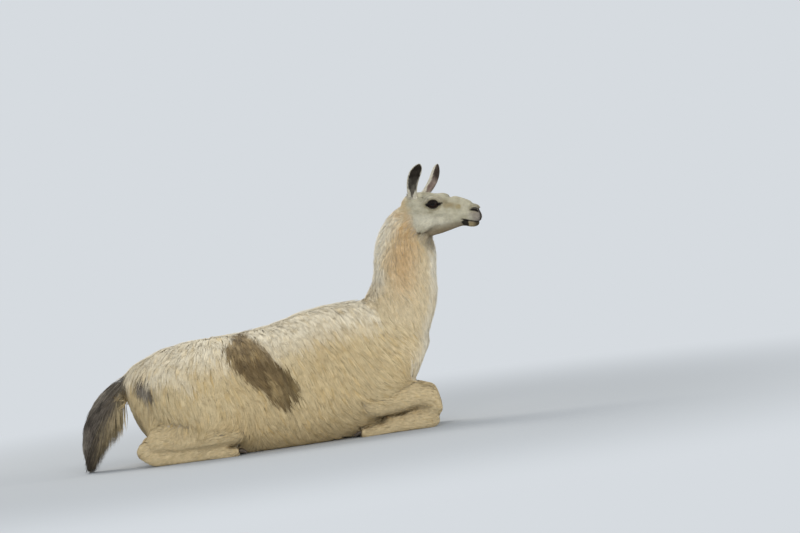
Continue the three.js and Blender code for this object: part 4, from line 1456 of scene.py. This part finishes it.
coatPiece("fur_ears", roots, places, furMaterial, earLook)


# lashes: long on the upper lid, short and few below

lashPlan = {
    "upper": {"count": 120, "long": 21, "thick": 0.7, "turn": (0.10, 0.93), "droop": 0.5, "curl": 0.30},
    "lower": {"count": 34, "long": 6, "thick": 0.49, "turn": (1.15, 1.85), "droop": 0.7, "curl": -0.1},
}
lashSteps = (0, 0.34, 0.68, 1.0)


def lashPaths(side):
    paths, widths = [], []
    for row in lashPlan.values():
        count = row["count"]
        turn = math.pi * np.linspace(*row["turn"], count) + dice.normal(0, 0.02, count)
        roots = lidPoint(turn, dice.uniform(0.6, 2.2, count), np.full(count, 25.2))
        droop = row["droop"] + dice.normal(0, 0.10, count)
        fan = 0.62 * np.cos(turn) + 0.22
        ways = unitRows(eyeAxis * 0.72 + slitAxis * fan[:, None] - riseAxis * droop[:, None])
        size = row["long"] * dice.uniform(0.75, 1.1, count) * (0.75 + 0.35 * np.sin(turn % math.pi))
        steps = []
        for step in lashSteps:
            sag = 0.22 * step - row["curl"] * step ** 2
            steps.append(roots + (ways * step - riseAxis * sag) * size[:, None])
        paths.append(np.stack(steps, axis=1))
        widths.append(np.full(count, row["thick"]))
    paths = np.vstack(paths) + eyePlan["middle"]
    placed = fromHead(mirrorHead(paths.reshape(-1, 3), side)).reshape(paths.shape)
    return placed, np.concatenate(widths) / 1000


for side, sideName in ((-1, "right"), (1, "left")):
    paths, widths = lashPaths(side)
    sides = np.broadcast_to(unitRows((riseAxis * [1, side, 1])[None] @ headAxes)[0], paths.shape)
    points, faces = spindleMesh(paths, widths, sides, 0.9, (1.0, 0.7))
    mesh = bpy.data.meshes.new("lashes_" + sideName)
    fillMesh(mesh, points, faces)
    paint(mesh, np.tile(linearColour(30, 25, 23), (len(points), 1)))
    lashes = linkObject("lashes_" + sideName, mesh)
    mesh.materials.append(lashMaterial)
    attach(lashes, "root")
print("lashes")


# claws: the plain wedges rounded off

clawPlan = {"grow": 1.10, "smooth": 2, "card": (74, 64, 54)}
for name in [name for name in names if "nail" in name]:
    mesh = frame["nodes"][name].data.copy()
    mesh.materials.clear()
    work = bmesh.new()
    work.from_mesh(mesh)
    bmesh.ops.remove_doubles(work, verts=work.verts[:], dist=1e-5)
    middle = sum((v.co for v in work.verts), Vector()) / len(work.verts)
    for vertex in work.verts:
        vertex.co = middle + (vertex.co - middle) * clawPlan["grow"]
        vertex.co.z = max(vertex.co.z, 0.0005)
    work.to_mesh(mesh)
    work.free()
    mesh.shade_smooth()
    claw = linkObject("claw_" + name, mesh)
    rounding = claw.modifiers.new("round", "SUBSURF")
    rounding.levels = clawPlan["smooth"]
    rounding.render_levels = clawPlan["smooth"]
    dense = bpy.data.meshes.new_from_object(claw.evaluated_get(bpy.context.evaluated_depsgraph_get()))
    claw.modifiers.remove(rounding)
    claw.data = dense
    paint(dense, np.tile(linearColour(*clawPlan["card"]), (len(dense.vertices), 1)))
    dense.materials.clear()
    dense.materials.append(nailMaterial)
    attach(claw, "root")
    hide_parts(name)
print("claws")


# floor, light and camera

room = {
    "colour": (214, 219, 224), "floorCard": (186, 190, 194), "floorHalf": 60,
    "fadeFrom": 1.3, "fadeTo": 3.6, "light": 0.8,
}
roomColour = (*linearColour(*room["colour"]), 1)


def straightRays(tree):  # one for what is seen, mirrored or seen through, nought for light that falls
    seen = node(tree, "ShaderNodeLightPath")
    glossyToo = node(tree, "ShaderNodeMath", operation="MAXIMUM")
    throughToo = node(tree, "ShaderNodeMath", operation="MAXIMUM")
    tree.links.new(seen.outputs["Is Camera Ray"], glossyToo.inputs[0])
    tree.links.new(seen.outputs["Is Glossy Ray"], glossyToo.inputs[1])
    tree.links.new(glossyToo.outputs[0], throughToo.inputs[0])
    tree.links.new(seen.outputs["Is Transmission Ray"], throughToo.inputs[1])
    return throughToo.outputs[0]


floorMaterial = bpy.data.materials.new("pale floor")
floorMaterial.use_nodes = True
tree = floorMaterial.node_tree
tree.nodes.clear()
link = tree.links.new
place = node(tree, "ShaderNodeTexCoord")
away = node(tree, "ShaderNodeVectorMath", operation="LENGTH")
fadeEnds = {1: room["fadeFrom"], 2: room["fadeTo"]}
fade = node(tree, "ShaderNodeMapRange", fadeEnds, interpolation_type="SMOOTHSTEP")
matt = node(tree, "ShaderNodeBsdfDiffuse", {0: (*linearColour(*room["floorCard"]), 1)})
plain = node(tree, "ShaderNodeEmission", {0: roomColour})
farShare = node(tree, "ShaderNodeMath", operation="MULTIPLY")
mixed = node(tree, "ShaderNodeMixShader")
out = node(tree, "ShaderNodeOutputMaterial")
link(place.outputs["Object"], away.inputs[0])
link(away.outputs["Value"], fade.inputs[0])
link(straightRays(tree), farShare.inputs[0])
link(fade.outputs[0], farShare.inputs[1])
link(farShare.outputs[0], mixed.inputs[0])
link(matt.outputs[0], mixed.inputs[1])
link(plain.outputs[0], mixed.inputs[2])
link(mixed.outputs[0], out.inputs["Surface"])

half = room["floorHalf"]
floorCorners = [(-half, -half, 0), (half, -half, 0), (half, half, 0), (-half, half, 0)]
floorMesh = meshFrom("floor", floorCorners, [[0, 1, 2, 3]])
floor = linkObject("floor", floorMesh)
floorMesh.materials.append(floorMaterial)

world = bpy.data.worlds.new("room")
bpy.context.scene.world = world
world.use_nodes = True
tree = world.node_tree
tree.nodes.clear()
link = tree.links.new
strength = node(tree, "ShaderNodeMapRange", {3: room["light"], 4: 1.0})
backdrop = node(tree, "ShaderNodeBackground", {0: roomColour})
out = node(tree, "ShaderNodeOutputWorld")
link(straightRays(tree), strength.inputs[0])
link(strength.outputs[0], backdrop.inputs["Strength"])
link(backdrop.outputs[0], out.inputs["Surface"])

lamps = {
    "key": {"place": (-1.6, 1.9, 4.2), "size": 2.4, "power": 104, "card": (255, 249, 240)},
    "fill": {"place": (0.2, -5.0, 1.9), "size": 3.2, "power": 122, "card": (255, 253, 250)},
    "side": {"place": (4.4, -1.2, 2.4), "size": 1.0, "power": 40, "card": (255, 252, 246)},
}
for lampName, lamp in lamps.items():
    light = bpy.data.lights.new(lampName, "AREA")
    light.size = lamp["size"]
    light.energy = lamp["power"]
    light.color = linearColour(*lamp["card"])
    made = bpy.data.objects.new(lampName, light)
    bpy.context.scene.collection.objects.link(made)
    made.location = lamp["place"]
    made.rotation_euler = (Vector((0, 0, 0.45)) - made.location).to_track_quat("-Z", "Y").to_euler()
    made.visible_glossy = lampName != "fill"  # no broad white pane in the eyes

view = {"lens": 200, "away": 17.78, "elevation": 2, "roll": 8, "aim": (0.5065, 0, 0.647)}
camera = bpy.data.cameras.new("camera")
camera.lens = view["lens"]
camera.sensor_width = 36
camera.clip_end = 200
cameraObject = bpy.data.objects.new("camera", camera)
bpy.context.scene.collection.objects.link(cameraObject)
tip, roll = math.radians(view["elevation"]), math.radians(view["roll"])
lookUp = Vector((0, math.sin(tip), math.cos(tip)))
lookBack = Vector((0, -math.cos(tip), math.sin(tip)))
acrossView = math.cos(roll) * Vector((1, 0, 0)) - math.sin(roll) * lookUp
upView = math.sin(roll) * Vector((1, 0, 0)) + math.cos(roll) * lookUp
turned = Matrix((acrossView, upView, lookBack)).transposed().to_4x4()
cameraObject.matrix_world = Matrix.Translation(Vector(view["aim"]) + view["away"] * lookBack) @ turned
bpy.context.scene.camera = cameraObject
bpy.context.scene.view_settings.view_transform = "Standard"
print("floor, light and camera")
